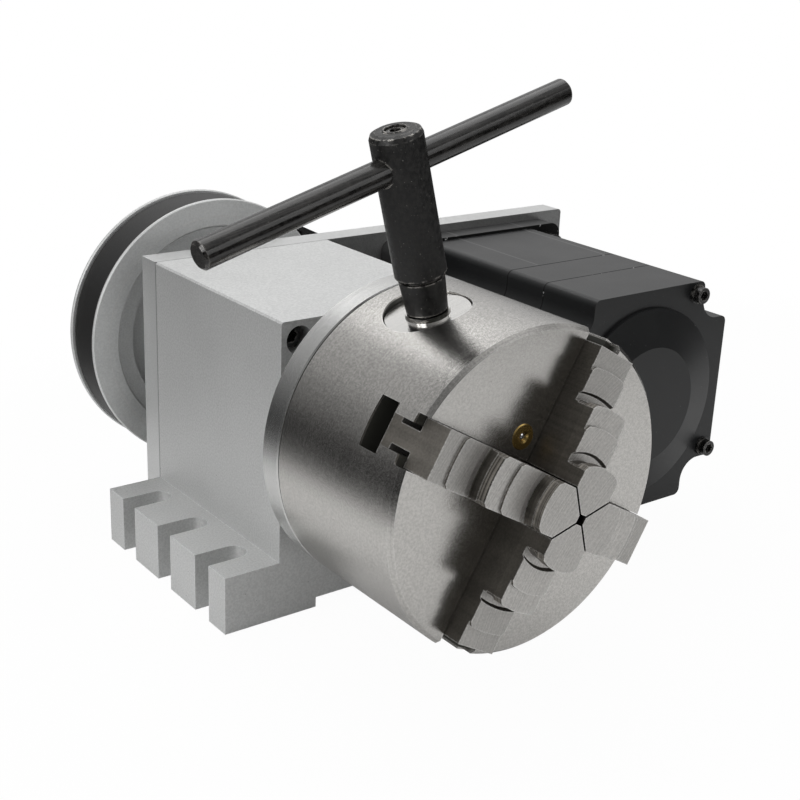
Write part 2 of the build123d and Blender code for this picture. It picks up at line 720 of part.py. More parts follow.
# Pinion: stub, bevel teeth, flange in the body wall, raised collar round the square socket
flange_inner_radius = pinion_face_radius - pinion_flange_thickness
pinion_top = pinion_face_radius + pinion_collar_height
flange_half = pinion_flange_diameter / 2
groove_half = lock_screw_size / 2 - 0.5
inner_root = tooth_sizes(gear_inner_radius)[0] - tooth_sizes(gear_inner_radius)[2]
outer_root = tooth_sizes(gear_outer_radius)[0] - tooth_sizes(gear_outer_radius)[2]
with BuildPart() as pinion:
    turned_radial([
        (stub_end, 0), (stub_end, stub_radius), (gear_inner_radius, stub_radius),
        (gear_inner_radius, inner_root), (gear_outer_radius, outer_root),
        (gear_outer_radius, tooth_sizes(gear_outer_radius)[0]),
        (flange_inner_radius, tooth_sizes(gear_outer_radius)[0]), (flange_inner_radius, flange_half),
        (lock_screw_radius - groove_half, flange_half),
        (lock_screw_radius - groove_half, flange_half - 1.5),
        (lock_screw_radius + groove_half, flange_half - 1.5),
        (lock_screw_radius + groove_half, flange_half), (pinion_face_radius - 0.4, flange_half),
        (pinion_face_radius, flange_half - 0.4), (pinion_face_radius, pinion_collar_diameter / 2),
        (pinion_top, pinion_collar_diameter / 2 - 0.3), (pinion_top, 0),
    ])
    pinion_tooth = tooth(1)
    for i in range(pinion_teeth):
        add(pinion_tooth.rotate(pinion_axis, 360 / pinion_teeth * i))
    with BuildSketch(radial_plane(pinion_top + 1, pinion_y, pinion_angle, key_turn)) as socket:
        Rectangle(square_drive + 0.2, square_drive + 0.2)
    extrude(socket.sketch, amount=-square_depth - 1, mode=Mode.SUBTRACT)
pinion.part.label = "pinion"
export_step(pinion.part, "parts/pinion.step")

# Brass oiler: a cup pressed into the face, with a ball that closes its hole from inside
oiler_mouth = 1.1
oiler_ball_y = depth(1.38)
with BuildPart() as oiler_cup:
    turned([
        (depth(oiler_depth), 1.6), (depth(oiler_depth), oiler_diameter / 2), (depth(0), oiler_diameter / 2),
        (depth(-0.3), oiler_diameter / 2 - 0.3), (depth(-0.3), oiler_mouth + 0.8),
        (depth(0), oiler_mouth), (depth(0.3), oiler_mouth), (depth(0.9), 1.6),
    ], oiler_x, oiler_z)
oiler_cup.part.label = "oiler_cup"
export_step(oiler_cup.part, "parts/oiler_cup.step")

with BuildPart() as oiler_shot:
    with Locations((oiler_x, oiler_ball_y, oiler_z)):
        Sphere(oiler_ball / 2)
oiler_shot.part.label = "oiler_ball"
export_step(oiler_shot.part, "parts/oiler_ball.step")

spring_radius = 1.15
spring_front = oiler_ball_y + 1.26
spring_wire = 0.4
with BuildPart() as oiler_spring:
    with BuildLine() as coil_path:
        Helix(pitch=0.85, height=depth(oiler_depth) - spring_front - spring_wire / 2, radius=spring_radius,
              center=(oiler_x, spring_front, oiler_z), direction=(0, 1, 0))
    with BuildSketch(Plane(origin=coil_path.line @ 0, z_dir=coil_path.line % 0)):
        Circle(spring_wire / 2)
    sweep()
oiler_spring.part.label = "oiler_spring"
export_step(oiler_spring.part, "parts/oiler_spring.step")

# Jaws: stepped blocks with a web through the neck and a toothed head behind it
jaw_half = slot_width / 2 - jaw_side_clearance
web_half = jaw_web_width / 2
tip_reach = 1.5
head_front = neck_depth + 0.15
head_rear = cavity_depth - free_clearance
tooth_end = depth(cavity_depth + 0.2) + thread_height - 0.5
upper_ledge = 2 * jaw_step + 0.4
lower_ledge = jaw_step + 0.2
jaw_levels = [
    (step_radius_inner, jaw_height), (step_radius_inner + ledge_width, upper_ledge),
    (step_radius_outer, upper_ledge - ledge_height), (step_radius_outer + ledge_width, lower_ledge),
]


def jaw_plan(half, reach):
    """Corners of a jaw from above: a pointed inner end, straight sides."""
    start = tip_reach - jaw_gap
    return [(tip_reach, -start), (tip_reach, start), (half + jaw_gap, half), (reach, half),
            (reach, -half), (half + jaw_gap, -half)]


for number, angle in enumerate(jaw_angles):
    with BuildPart() as jaw:
        with BuildSketch(front_plane(depth(slot_front_depth - 0.15), turn=angle)) as base:
            Polygon(*jaw_plan(jaw_half, jaw_reach), align=None)
        extrude(base.sketch, amount=slot_front_depth - 0.15 + lower_ledge - ledge_height)
        for arc_radius, level in jaw_levels:
            with BuildSketch(front_plane(depth(0), turn=angle)) as step:
                Polygon(*jaw_plan(jaw_half, jaw_reach), align=None)
                Circle(arc_radius, mode=Mode.INTERSECT)
                chamfer(step.vertices().group_by(Axis.X)[-1], length=1.0)
            extrude(step.sketch, amount=level)
        for riser, ledge in ((step_radius_inner, upper_ledge), (step_radius_outer, lower_ledge)):
            groove_floor = depth(step_groove_depth - ledge)
            turned([
                (depth(-ledge), riser + step_groove_width), (groove_floor, riser + step_groove_width - 0.8),
                (groove_floor, riser - step_neck_depth),
                (depth(-ledge - step_neck_height), riser - step_neck_depth),
                (depth(-ledge - step_neck_height - 0.6), riser),
            ], mode=Mode.SUBTRACT)
        with BuildSketch(front_plane(depth(head_rear), turn=angle)) as web:
            Polygon(*jaw_plan(web_half, jaw_reach), align=None)
        extrude(web.sketch, amount=head_rear - slot_front_depth + 1.0)
        with BuildSketch(front_plane(depth(head_rear), turn=angle)) as head:
            Polygon(*jaw_plan(jaw_half, jaw_head_reach), align=None)
        extrude(head.sketch, amount=head_rear - head_front)
        with BuildSketch(front_plane(tooth_end, turn=angle)) as teeth:
            for turn in (4, 3, 2, 1, 0):
                ridge = first_ridge_radius + quarter_step * number + scroll_pitch * turn
                outer = ridge - (scroll_pitch - thread_width - jaw_tooth_thickness) / 2
                if outer - jaw_tooth_thickness > hub_radius + 1 and outer < scroll_radius:
                    Circle(outer)
                    Circle(outer - jaw_tooth_thickness, mode=Mode.SUBTRACT)
            with Locations((jaw_head_reach / 2, 0)):
                Rectangle(jaw_head_reach, jaw_tooth_width, mode=Mode.INTERSECT)
        extrude(teeth.sketch, amount=tooth_end - depth(head_rear))
    jaw.part.label = f"jaw_{number + 1}"
    export_step(jaw.part, f"parts/jaw_{number + 1}.step")

# Tee handled key: turned body, square end in the pinion, bar clamped by a grub screw
key_bottom = pinion_top + 0.4
key_half = key_diameter / 2
bar_hole_radius = key_bar_diameter / 2 + running_clearance
with BuildPart() as key:
    turned_radial([
        (key_bottom, 0), (key_bottom, key_tip_diameter / 2),
        (key_groove_radius - key_groove_width / 2, key_lower_diameter / 2),
        (key_groove_radius - key_groove_width / 2, key_lower_diameter / 2 - 0.9),
        (key_groove_radius + key_groove_width / 2, key_lower_diameter / 2 - 0.9),
        (key_groove_radius + key_groove_width / 2, key_half),
        (key_top_radius - key_crown, key_half),
        (key_top_radius - 0.3 * key_crown, key_half - 0.3 * key_crown),
        (key_top_radius, key_half - key_crown), (key_top_radius, grub_radius + 0.7),
        (key_top_radius + grub_rim_height, grub_radius + 0.4), (key_top_radius + grub_rim_height, 0),
    ])
    with BuildSketch(radial_plane(key_bottom, pinion_y, pinion_angle, key_turn)) as square:
        Rectangle(square_drive, square_drive)
    extrude(square.sketch, amount=-square_depth + 1.0)
    drill(radial_plane(key_top_radius + 1, pinion_y, pinion_angle), 2 * (grub_radius + thread_clearance),
          key_top_radius + 1 - key_bar_radius)
    bar_middle = radial_plane(key_bar_radius, pinion_y, pinion_angle, key_turn)
    bar_plane = Plane(origin=bar_middle.origin, x_dir=bar_middle.z_dir, z_dir=bar_middle.x_dir)
    drill(bar_plane.offset(key_half + 1), 2 * bar_hole_radius, 2 * key_half + 2)
key.part.label = "chuck_key"
export_step(key.part, "parts/chuck_key.step")

with BuildPart() as key_bar:
    drill(bar_plane.offset(key_bar_length / 2 + key_bar_shift), key_bar_diameter, key_bar_length, Mode.ADD)
    chamfer(key_bar.edges().filter_by(GeomType.CIRCLE), length=0.7)
key_bar.part.label = "key_bar"
export_step(key_bar.part, "parts/key_bar.step")

grub_bottom = key_bar_radius + key_bar_diameter / 2
with BuildPart() as grub:
    grub_top = radial_plane(key_top_radius - grub_sunk, pinion_y, pinion_angle)
    drill(grub_top, 2 * grub_radius, key_top_radius - grub_sunk - grub_bottom, Mode.ADD)
    chamfer(grub.edges().filter_by(GeomType.CIRCLE).sort_by(Axis.Z)[-1], length=0.5)
    with BuildSketch(grub_top) as grub_socket:
        RegularPolygon(1.75, 6)
    extrude(grub_socket.sketch, amount=-3, mode=Mode.SUBTRACT)
grub.part.label = "key_grub_screw"
export_step(grub.part, "parts/key_grub_screw.step")

# Driven pulley with pressed rims, held by a ring behind it
driven_pitch = driven_teeth * belt_tooth_pitch / (2 * pi)
driven_tip = driven_pitch - belt_tip_drop / 2
driving_pitch = driving_teeth * belt_tooth_pitch / (2 * pi)
driving_tip = driving_pitch - belt_tip_drop / 2
rim_seat_radius = 44.0
teeth_front = pulley_front + pulley_rim
teeth_rear = pulley_rear - pulley_rim


def cut_grooves(tip, count, x, z):
    """Round bottomed belt grooves all round a pulley."""
    with BuildSketch(front_plane(teeth_rear, x, z)) as grooves:
        with PolarLocations(tip, count):
            Circle(tooth_groove_radius)
    extrude(grooves.sketch, amount=teeth_rear - teeth_front, mode=Mode.SUBTRACT)


with BuildPart() as driven_pulley:
    turned([
        (pulley_rear, rear_radius + running_clearance), (pulley_rear, 24), (pulley_rear - 4, 26),
        (pulley_rear - 4, 39), (pulley_rear, 41), (pulley_rear, rim_seat_radius),
        (teeth_rear, rim_seat_radius), (teeth_rear, driven_tip), (teeth_front, driven_tip),
        (teeth_front, rim_seat_radius), (pulley_front, rim_seat_radius), (pulley_front, 40.5),
        (pulley_front + 1.5, 39.5), (pulley_front + 1.5, 34), (pulley_front + 5, 33), (pulley_front + 5, 26),
        (pulley_front, 25), (pulley_front, rear_radius + running_clearance),
    ])
    cut_grooves(driven_tip, driven_teeth, 0, centre_height)
    with BuildSketch(front_plane(pulley_rear)) as keyway:
        with Locations((0, rear_radius + 0.5)):
            Rectangle(pulley_key_width + 2 * running_clearance, pulley_key_height + 1)
    extrude(keyway.sketch, amount=pulley_rear - pulley_front, mode=Mode.SUBTRACT)
driven_pulley.part.label = "driven_pulley"
export_step(driven_pulley.part, "parts/driven_pulley.step")

with BuildPart() as pulley_rims:
    for front in (pulley_front, teeth_rear):
        tube(front + pulley_rim, front, rim_seat_radius + running_clearance, pulley_rim_radius)
    outer_rims = pulley_rims.edges().filter_by(GeomType.CIRCLE).group_by(SortBy.RADIUS)[-1]
    chamfer(outer_rims, length=0.4)
pulley_rims.part.label = "pulley_rims"
export_step(pulley_rims.part, "parts/pulley_rims.step")

with BuildPart() as pulley_ring:
    tube(circlip_front + circlip_width - 0.1, circlip_front, rear_radius - 0.9, rear_radius + 3)
    with BuildSketch(front_plane(circlip_front + circlip_width)) as ring_mouth:
        with Locations((0, -rear_radius)):
            Rectangle(6, 8)
    extrude(ring_mouth.sketch, amount=circlip_width, mode=Mode.SUBTRACT)
pulley_ring.part.label = "pulley_retaining_ring"
export_step(pulley_ring.part, "parts/pulley_retaining_ring.step")

# Closed belt round both pulleys
belt_rear = belt_front + belt_width
belt_inner = [driven_tip + free_clearance + 0.03, driving_tip + free_clearance + 0.03]
with BuildPart() as belt:
    for grown, loop_mode in ((belt_thickness, Mode.ADD), (0, Mode.SUBTRACT)):
        with BuildSketch(front_plane(belt_rear)) as loop:
            Circle(belt_inner[0] + grown)
            with Locations((motor_x, motor_z - centre_height)):
                Circle(belt_inner[1] + grown)
            make_hull()
        extrude(loop.sketch, amount=belt_width, mode=loop_mode)
belt.part.label = "drive_belt"
export_step(belt.part, "parts/drive_belt.step")

# Motor housing: flange, stator body, middle case and rear cap share one outline
flange_rear_y = block_rear
flange_front_y = flange_rear_y - motor_flange_thickness
body_front_y = flange_front_y - motor_body_length
mid_front_y = body_front_y - motor_mid_length
cap_front_y = mid_front_y - motor_cap_length
motor_cavity = 39.0
case_bolt_size = 4.0
case_bolt_places = [(cap_screw_x, cap_screw_z), (cap_screw_z, -cap_screw_x),
                    (-cap_screw_x, -cap_screw_z), (-cap_screw_z, cap_screw_x)]


# Square outline with a notch at each corner, repeated by quarter turns
case_corners = []
for a, b in ((0, 1), (1, 0), (0, -1), (-1, 0)):
    for along, up in ((-ear_near, motor_half_width), (ear_far, motor_half_width), (ear_far, ear_near)):
        case_corners.append((along * b + up * a, up * b - along * a))


def motor_case(rear, front):
    """A length of motor case with its four long screw holes."""
    with BuildSketch(front_plane(rear, motor_x, motor_z)) as outline:
        Polygon(*case_corners, align=None)
        inner = outline.vertices().sort_by_distance((0, 0))[:4]
        fillet(inner, notch_radius)
        outer = [v for v in outline.vertices() if max(abs(v.X), abs(v.Y)) > motor_half_width - 0.01
                 and min(abs(v.X), abs(v.Y)) > ear_near - 0.01]
        fillet(outer, 2.5)
        with Locations(*case_bolt_places):
            Circle(case_bolt_size / 2 + screw_hole_clearance, mode=Mode.SUBTRACT)
    extrude(outline.sketch, amount=rear - front)


motor_bearing_front = flange_front_y - 1.0
motor_bearing_radius = motor_bearing_outside / 2
journal_radius = motor_journal / 2
with BuildPart() as motor_flange:
    with BuildSketch(front_plane(flange_rear_y, motor_x, motor_z)) as flange_outline:
        RectangleRounded(motor_flange_size, motor_flange_size, 5)
        with GridLocations(motor_bolt_spacing, motor_bolt_spacing, 2, 2):
            Circle(motor_bolt_size / 2 + screw_hole_clearance, mode=Mode.SUBTRACT)
    extrude(flange_outline.sketch, amount=motor_flange_thickness)
    pilot_rear = flange_rear_y + motor_pilot_height
    tube(pilot_rear, flange_rear_y, 0, motor_pilot_diameter / 2, motor_x, motor_z)
    tube(flange_front_y, motor_bearing_front, 0, motor_bearing_radius + 5, motor_x, motor_z)
    tube(pilot_rear, motor_bearing_front, 0, journal_radius + 1, motor_x, motor_z, Mode.SUBTRACT)
    tube(motor_bearing_front + motor_bearing_width, motor_bearing_front, 0, motor_bearing_radius,
         motor_x, motor_z, Mode.SUBTRACT)
    for px, pz in case_bolt_places:
        drill(front_plane(flange_front_y, motor_x + px, motor_z + pz),
              case_bolt_size + 2 * thread_clearance, motor_flange_thickness - 1)
motor_flange.part.label = "motor_flange"
export_step(motor_flange.part, "parts/motor_flange.step")

with BuildPart() as motor_body:
    motor_case(flange_front_y, body_front_y)
    tube(flange_front_y, body_front_y, 0, motor_cavity, motor_x, motor_z, Mode.SUBTRACT)
motor_body.part.label = "motor_body"
export_step(motor_body.part, "parts/motor_body.step")

# Middle case closes the stator, holds the rear bearing and the posts of the encoder board
bulkhead_rear = mid_front_y + 14.0
rear_bearing_y = bulkhead_rear - motor_bearing_width
post_length = 11.4
board_thickness = 1.6
post_circle = 54.0
with BuildPart() as mid_case:
    motor_case(body_front_y, mid_front_y)
    tube(body_front_y, bulkhead_rear, 0, motor_cavity, motor_x, motor_z, Mode.SUBTRACT)
    tube(bulkhead_rear, rear_bearing_y, 0, motor_bearing_radius, motor_x, motor_z, Mode.SUBTRACT)
    tube(rear_bearing_y, mid_front_y, 0, journal_radius + 1, motor_x, motor_z, Mode.SUBTRACT)
    with BuildSketch(front_plane(mid_front_y, motor_x, motor_z)) as posts:
        with PolarLocations(post_circle / 2, 4, start_angle=45):
            Circle(3)
    extrude(posts.sketch, amount=post_length)
mid_case.part.label = "motor_mid_case"
export_step(mid_case.part, "parts/motor_mid_case.step")

# Rear cap: a hollow box whose face rises into a shallow cone
inlet_y = mid_front_y - 9.5
inlet_places = {"power": (motor_z + 11.0, 8.0), "encoder": (motor_z - 12.0, 6.0)}
cap_side = motor_x + motor_half_width
with BuildPart() as rear_cap:
    motor_case(mid_front_y, cap_front_y)
    turned([(cap_front_y, 0), (cap_front_y, dome_base_radius),
            (cap_front_y - dome_step, dome_base_radius),
            (cap_front_y - dome_height, dome_top_radius), (cap_front_y - dome_height, 0)],
           motor_x, motor_z)
    turned([(mid_front_y, 0), (mid_front_y, motor_cavity - 1.5),
            (cap_front_y + motor_wall, motor_cavity - 1.5),
            (cap_front_y + motor_wall, dome_base_radius - motor_wall),
            (cap_front_y + motor_wall - dome_height, dome_top_radius - motor_wall),
            (cap_front_y + motor_wall - dome_height, 0)], motor_x, motor_z, Mode.SUBTRACT)
    for inlet_z, inlet_radius in inlet_places.values():
        side_plane = Plane(origin=(cap_side, inlet_y, inlet_z), x_dir=(0, 1, 0), z_dir=(1, 0, 0))
        drill(side_plane, 2 * inlet_radius - 5, 14)
rear_cap.part.label = "motor_rear_cap"
export_step(rear_cap.part, "parts/motor_rear_cap.step")

for name, (inlet_z, inlet_radius) in inlet_places.items():
    side_plane = Plane(origin=(cap_side, inlet_y, inlet_z), x_dir=(0, 1, 0), z_dir=(1, 0, 0))
    with BuildPart() as inlet:
        with BuildSketch(side_plane) as base:
            RectangleRounded(2 * inlet_radius + 3, 2 * inlet_radius + 3, 2)
        extrude(base.sketch, amount=2)
        drill(side_plane.offset(9), 2 * inlet_radius, 7, Mode.ADD)
        drill(side_plane.offset(9), 2 * inlet_radius - 3, 7)
        drill(side_plane.offset(6), 2 * inlet_radius - 8, 6, Mode.ADD)
        drill(side_plane, 2 * inlet_radius - 5.4, 2.5, Mode.ADD)
    inlet.part.label = f"{name}_inlet"
    export_step(inlet.part, f"parts/{name}_inlet.step")

# Long screws through the motor case, flange screws and their nuts
case_screw_length = flange_front_y - cap_front_y + motor_flange_thickness - 2
with BuildPart() as cap_screws:
    for px, pz in case_bolt_places:
        washer_front = front_plane(cap_front_y - cap_washer_thickness, motor_x + px, motor_z + pz)
        drill(washer_front, 2 * cap_washer_radius, cap_washer_thickness, Mode.ADD)
        socket_screw(washer_front, case_bolt_size, cap_washer_thickness + case_screw_length,
                     head_scale=1.5, head_height=0.65)
cap_screws.part.label = "motor_cap_screws"
export_step(cap_screws.part, "parts/motor_cap_screws.step")

nut_thickness = 5.0
with BuildPart() as mount_screws:
    for px, pz in motor_bolt_places:
        socket_screw(front_plane(flange_front_y, px, pz), motor_bolt_size,
                     plate_rear + nut_thickness + 1 - flange_front_y)
mount_screws.part.label = "motor_mount_screws"
export_step(mount_screws.part, "parts/motor_mount_screws.step")

with BuildPart() as mount_nuts:
    with BuildSketch(front_plane(plate_rear + nut_thickness, z=0)) as nuts:
        with Locations(*motor_bolt_places):
            RegularPolygon(5.77, 6)
            Circle(motor_bolt_size / 2 + thread_clearance, mode=Mode.SUBTRACT)
    extrude(nuts.sketch, amount=nut_thickness)
mount_nuts.part.label = "motor_mount_nuts"
export_step(mount_nuts.part, "parts/motor_mount_nuts.step")

# Stator: laminated core with eight poles, one coil round each
core_front = -12.0
core_rear = 24.0
pole_width = 8.0
pole_count = 8
rotor_radius = rotor_diameter / 2
with BuildPart() as stator_core:
    with BuildSketch(front_plane(core_rear, motor_x, motor_z)) as core:
        Circle(motor_cavity - running_clearance)
        Circle(32, mode=Mode.SUBTRACT)
        with PolarLocations(28, pole_count):
            Rectangle(10, pole_width)
        Circle(rotor_radius + 0.5, mode=Mode.SUBTRACT)
    extrude(core.sketch, amount=core_rear - core_front)
stator_core.part.label = "stator_core"
export_step(stator_core.part, "parts/stator_core.step")

with BuildPart() as stator_coils:
    for i in range(pole_count):
        turn = 360 / pole_count * i
        pole_x = motor_x + 24.5 * cos(radians(turn))
        pole_z = motor_z + 24.5 * sin(radians(turn))
        pole = Plane(origin=(pole_x, (core_front + core_rear) / 2, pole_z), x_dir=(0, 1, 0),
                     z_dir=(cos(radians(turn)), 0, sin(radians(turn))))
        with BuildSketch(pole) as coil:
            RectangleRounded(core_rear - core_front + 10, pole_width + 5.5, 3)
            Rectangle(core_rear - core_front + 0.4, pole_width + 0.4, mode=Mode.SUBTRACT)
        extrude(coil.sketch, amount=6)
stator_coils.part.label = "stator_coils"
export_step(stator_coils.part, "parts/stator_coils.step")

# Rotor: shaft, core, encoder disc and two ball bearings
encoder_y = mid_front_y - 6.0
shaft_end = pulley_rear - 3.0
with BuildPart() as rotor_shaft:
    turned([
        (shaft_end, 0), (shaft_end, motor_shaft / 2 - 0.5), (shaft_end - 0.5, motor_shaft / 2),
        (pilot_rear, motor_shaft / 2), (pilot_rear, journal_radius), (rear_bearing_y, journal_radius),
        (rear_bearing_y, 5), (encoder_y - 3, 5), (encoder_y - 3, 0),
    ], motor_x, motor_z)
rotor_shaft.part.label = "rotor_shaft"
export_step(rotor_shaft.part, "parts/rotor_shaft.step")

with BuildPart() as rotor_core:
    tube(core_rear, core_front, journal_radius, rotor_radius, motor_x, motor_z)
rotor_core.part.label = "rotor_core"
export_step(rotor_core.part, "parts/rotor_core.step")

with BuildPart() as encoder_disc:
    tube(encoder_y + 1.2, encoder_y, 5, 20, motor_x, motor_z)
    tube(encoder_y, encoder_y - 2.5, 5, 8, motor_x, motor_z)
encoder_disc.part.label = "encoder_disc"
export_step(encoder_disc.part, "parts/encoder_disc.step")

board_rear = mid_front_y - post_length
with BuildPart() as encoder_board:
    tube(board_rear, board_rear - board_thickness, 0, 32, motor_x, motor_z)
    with BuildSketch(front_plane(board_rear, motor_x, motor_z)) as reader:
        with Locations((15, 0)):
            Rectangle(7, 9)
    extrude(reader.sketch, amount=-1.6)
    with BuildSketch(front_plane(board_rear - board_thickness, motor_x, motor_z)) as chips:
        for cx, cz, wide, high in ((-8, 8, 12, 12), (12, -12, 8, 6), (14, 12, 6, 10)):
            with Locations((cx, cz)):
                Rectangle(wide, high)
    extrude(chips.sketch, amount=1.4)
encoder_board.part.label = "encoder_board"
export_step(encoder_board.part, "parts/encoder_board.step")

motor_ball_radius = 2.9
motor_ball_circle = (journal_radius + motor_bearing_radius) / 2
motor_bearing_fronts = (motor_bearing_front, rear_bearing_y)
with BuildPart() as motor_outer_rings:
    for front in motor_bearing_fronts:
        bearing_ring(front, motor_bearing_width, motor_ball_circle + 2, motor_bearing_radius,
                     motor_ball_circle, motor_ball_radius + running_clearance, motor_x, motor_z)
motor_outer_rings.part.label = "motor_bearing_outer_rings"
export_step(motor_outer_rings.part, "parts/motor_bearing_outer_rings.step")

with BuildPart() as motor_inner_rings:
    for front in motor_bearing_fronts:
        bearing_ring(front, motor_bearing_width, journal_radius, motor_ball_circle - 2,
                     motor_ball_circle, motor_ball_radius + running_clearance, motor_x, motor_z)
motor_inner_rings.part.label = "motor_bearing_inner_rings"
export_step(motor_inner_rings.part, "parts/motor_bearing_inner_rings.step")

with BuildPart() as motor_balls:
    for front in motor_bearing_fronts:
        ball_ring(front + motor_bearing_width / 2, motor_ball_circle, motor_ball_radius, 8,
                  motor_x, motor_z)
motor_balls.part.label = "motor_bearing_balls"
export_step(motor_balls.part, "parts/motor_bearing_balls.step")

# Small pulley with two grub screws in its hub
hub_front = plate_rear + 3.0
hub_screw_y = (hub_front + pulley_front) / 2
with BuildPart() as motor_pulley:
    turned([
        (pulley_rear, motor_shaft / 2), (pulley_rear, small_rim_radius), (teeth_rear, small_rim_radius),
        (teeth_rear, driving_tip), (teeth_front, driving_tip), (teeth_front, small_rim_radius),
        (pulley_front, small_rim_radius), (pulley_front, 12), (hub_front, 12), (hub_front, motor_shaft / 2),
    ], motor_x, motor_z)
    cut_grooves(driving_tip, driving_teeth, motor_x, motor_z)
    hub_screw_planes = [
        Plane(origin=(motor_x + 12 * sx, hub_screw_y, motor_z + 12 * sz), x_dir=(0, 1, 0),
              z_dir=(sx, 0, sz)) for sx, sz in ((0, 1), (-1, 0))
    ]
    for hub_plane in hub_screw_planes:
        drill(hub_plane, case_bolt_size + 2 * thread_clearance, 6)
motor_pulley.part.label = "motor_pulley"
export_step(motor_pulley.part, "parts/motor_pulley.step")

with BuildPart() as pulley_screws:
    for hub_plane in hub_screw_planes:
        drill(hub_plane.offset(-0.3), case_bolt_size, 12 - 0.3 - motor_shaft / 2, Mode.ADD)
        with BuildSketch(hub_plane.offset(-0.3)) as hub_socket:
            RegularPolygon(1.15, 6)
        extrude(hub_socket.sketch, amount=-2, mode=Mode.SUBTRACT)
pulley_screws.part.label = "motor_pulley_screws"
export_step(pulley_screws.part, "parts/motor_pulley_screws.step")
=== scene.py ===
# %% [markdown]
# This file dresses a small rotary axis for a milling machine: a blasted aluminium headstock with
# a hollow spindle, a bright steel scroll chuck in front, a black motor beside it and a toothed
# belt drive behind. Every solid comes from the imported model, which is the fixed frame. Here each
# solid gets the finish that its real piece has, and two pieces are added as meshes: the belt with
# its teeth, and the spring of the oiler. Lengths are metres. Most pieces turn about a line
# along Y, the axis of the spindle.

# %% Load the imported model
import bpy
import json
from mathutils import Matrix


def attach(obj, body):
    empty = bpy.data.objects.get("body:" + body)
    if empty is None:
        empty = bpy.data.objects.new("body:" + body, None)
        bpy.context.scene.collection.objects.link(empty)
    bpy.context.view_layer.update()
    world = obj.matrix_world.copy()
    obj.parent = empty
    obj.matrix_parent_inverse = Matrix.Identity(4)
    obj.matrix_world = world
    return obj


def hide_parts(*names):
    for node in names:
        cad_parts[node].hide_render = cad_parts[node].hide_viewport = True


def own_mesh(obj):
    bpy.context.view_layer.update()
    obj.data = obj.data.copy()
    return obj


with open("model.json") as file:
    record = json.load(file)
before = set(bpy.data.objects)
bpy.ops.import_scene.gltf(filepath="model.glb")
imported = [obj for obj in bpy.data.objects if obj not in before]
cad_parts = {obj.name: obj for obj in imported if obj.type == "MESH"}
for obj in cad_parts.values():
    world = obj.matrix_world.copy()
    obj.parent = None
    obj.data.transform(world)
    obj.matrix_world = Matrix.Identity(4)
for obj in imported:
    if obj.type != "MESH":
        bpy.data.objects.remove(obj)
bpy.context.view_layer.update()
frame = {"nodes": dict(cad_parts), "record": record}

import json
from math import acos, atan2, ceil, cos, pi, radians, sin

import bmesh
import bpy
from mathutils import Matrix, Vector

scene = bpy.context.scene
nodes = frame["nodes"]

# %% [markdown]
# The camera stands to the left of the chuck and a little above it, close enough for a strong
# perspective, and it is rolled by two degrees. Its place is worked out from straight edges of
# the headstock and the round chuck face. It could be aimed with a constraint, but a roll is then
# awkward, so its matrix is written down: the three columns are the camera's right, its up and the
# direction from the object to the camera.

# %% The camera
CAMERA_PLACE = Vector((-0.24907, -0.37832, 0.22321))
CAMERA_TURN, CAMERA_RISE, CAMERA_ROLL = radians(-37.56), radians(20.11), radians(2.39)


def camera_axes(turn, rise, roll):
    """Right, up and backward directions of a camera."""
    right = Vector((cos(turn), sin(turn), 0))
    back = Vector((sin(turn) * cos(rise), -cos(turn) * cos(rise), sin(rise)))
    up = back.cross(right)
    return (right * cos(roll) + up * sin(roll), up * cos(roll) - right * sin(roll), back)


camera_data = bpy.data.cameras.new("photo_camera")
camera_data.sensor_width = 36.0
camera_data.lens = 61.83
camera_data.clip_start = 0.01
camera = bpy.data.objects.new("photo_camera", camera_data)
scene.collection.objects.link(camera)
axes = camera_axes(CAMERA_TURN, CAMERA_RISE, CAMERA_ROLL)
camera.matrix_world = Matrix.Translation(CAMERA_PLACE) @ Matrix(axes).transposed().to_4x4()
scene.camera = camera
scene.view_settings.view_transform = "Standard"
print("camera at", tuple(round(v, 3) for v in CAMERA_PLACE))

# %% [markdown]
# Node trees are easier to read as sums. A Link wraps one socket, and its operators add Math
# nodes, in both orders, so that 1 - mask works. Its band method is the one ramp that all masks
# here are made with: nothing below one value, all above another, and a soft step between.


# %% A socket that can be used in sums
class Link:
    """One output socket of a finish. Arithmetic on it adds Math nodes there."""

    def __init__(self, finish, socket):
        self.finish = finish
        self.socket = socket

    def math(self, operation, *values):
        """A Math node that works on these values."""
        return self.finish.node("Math", {"operation": operation}, dict(enumerate(values)))

    def __add__(self, other):
        return self.math("ADD", self, other)

    def __radd__(self, other):
        return self.math("ADD", other, self)

    def __sub__(self, other):
        return self.math("SUBTRACT", self, other)

    def __rsub__(self, other):
        return self.math("SUBTRACT", other, self)

    def __mul__(self, other):
        return self.math("MULTIPLY", self, other)

    def __rmul__(self, other):
        return self.math("MULTIPLY", other, self)

    def __pow__(self, other):
        return self.math("POWER", self, other)

    def __abs__(self):
        return self.math("ABSOLUTE", self)

    def at_most(self, most):
        """The smaller of this and another value."""
        return self.math("MINIMUM", self, most)

    def band(self, low, high):
        """0 below low, 1 above high, smooth between them."""
        return self.finish.node("MapRange", {"interpolation_type": "SMOOTHSTEP"},
                                {"Value": self, "From Min": low, "From Max": high}, "Result")


print("shader sums ready")

# %% [markdown]
# A Finish holds one material, or the world. Its node method makes every node here: first it sets
# the node up, then it fills the sockets. Nodes could be added and joined one by one, but that
# takes three lines for each of them and hides the sum that they make.


# %% A material that is built in steps
def grey_stops(ramp, stops):
    """Set the stops of a ramp, each a place from 0 to 1 and the grey there."""
    while len(ramp.elements) < len(stops):
        ramp.elements.new(0.5)
    for stop, (place, grey) in zip(ramp.elements, stops):
        stop.position = place
        stop.color = (grey, grey, grey, 1.0)


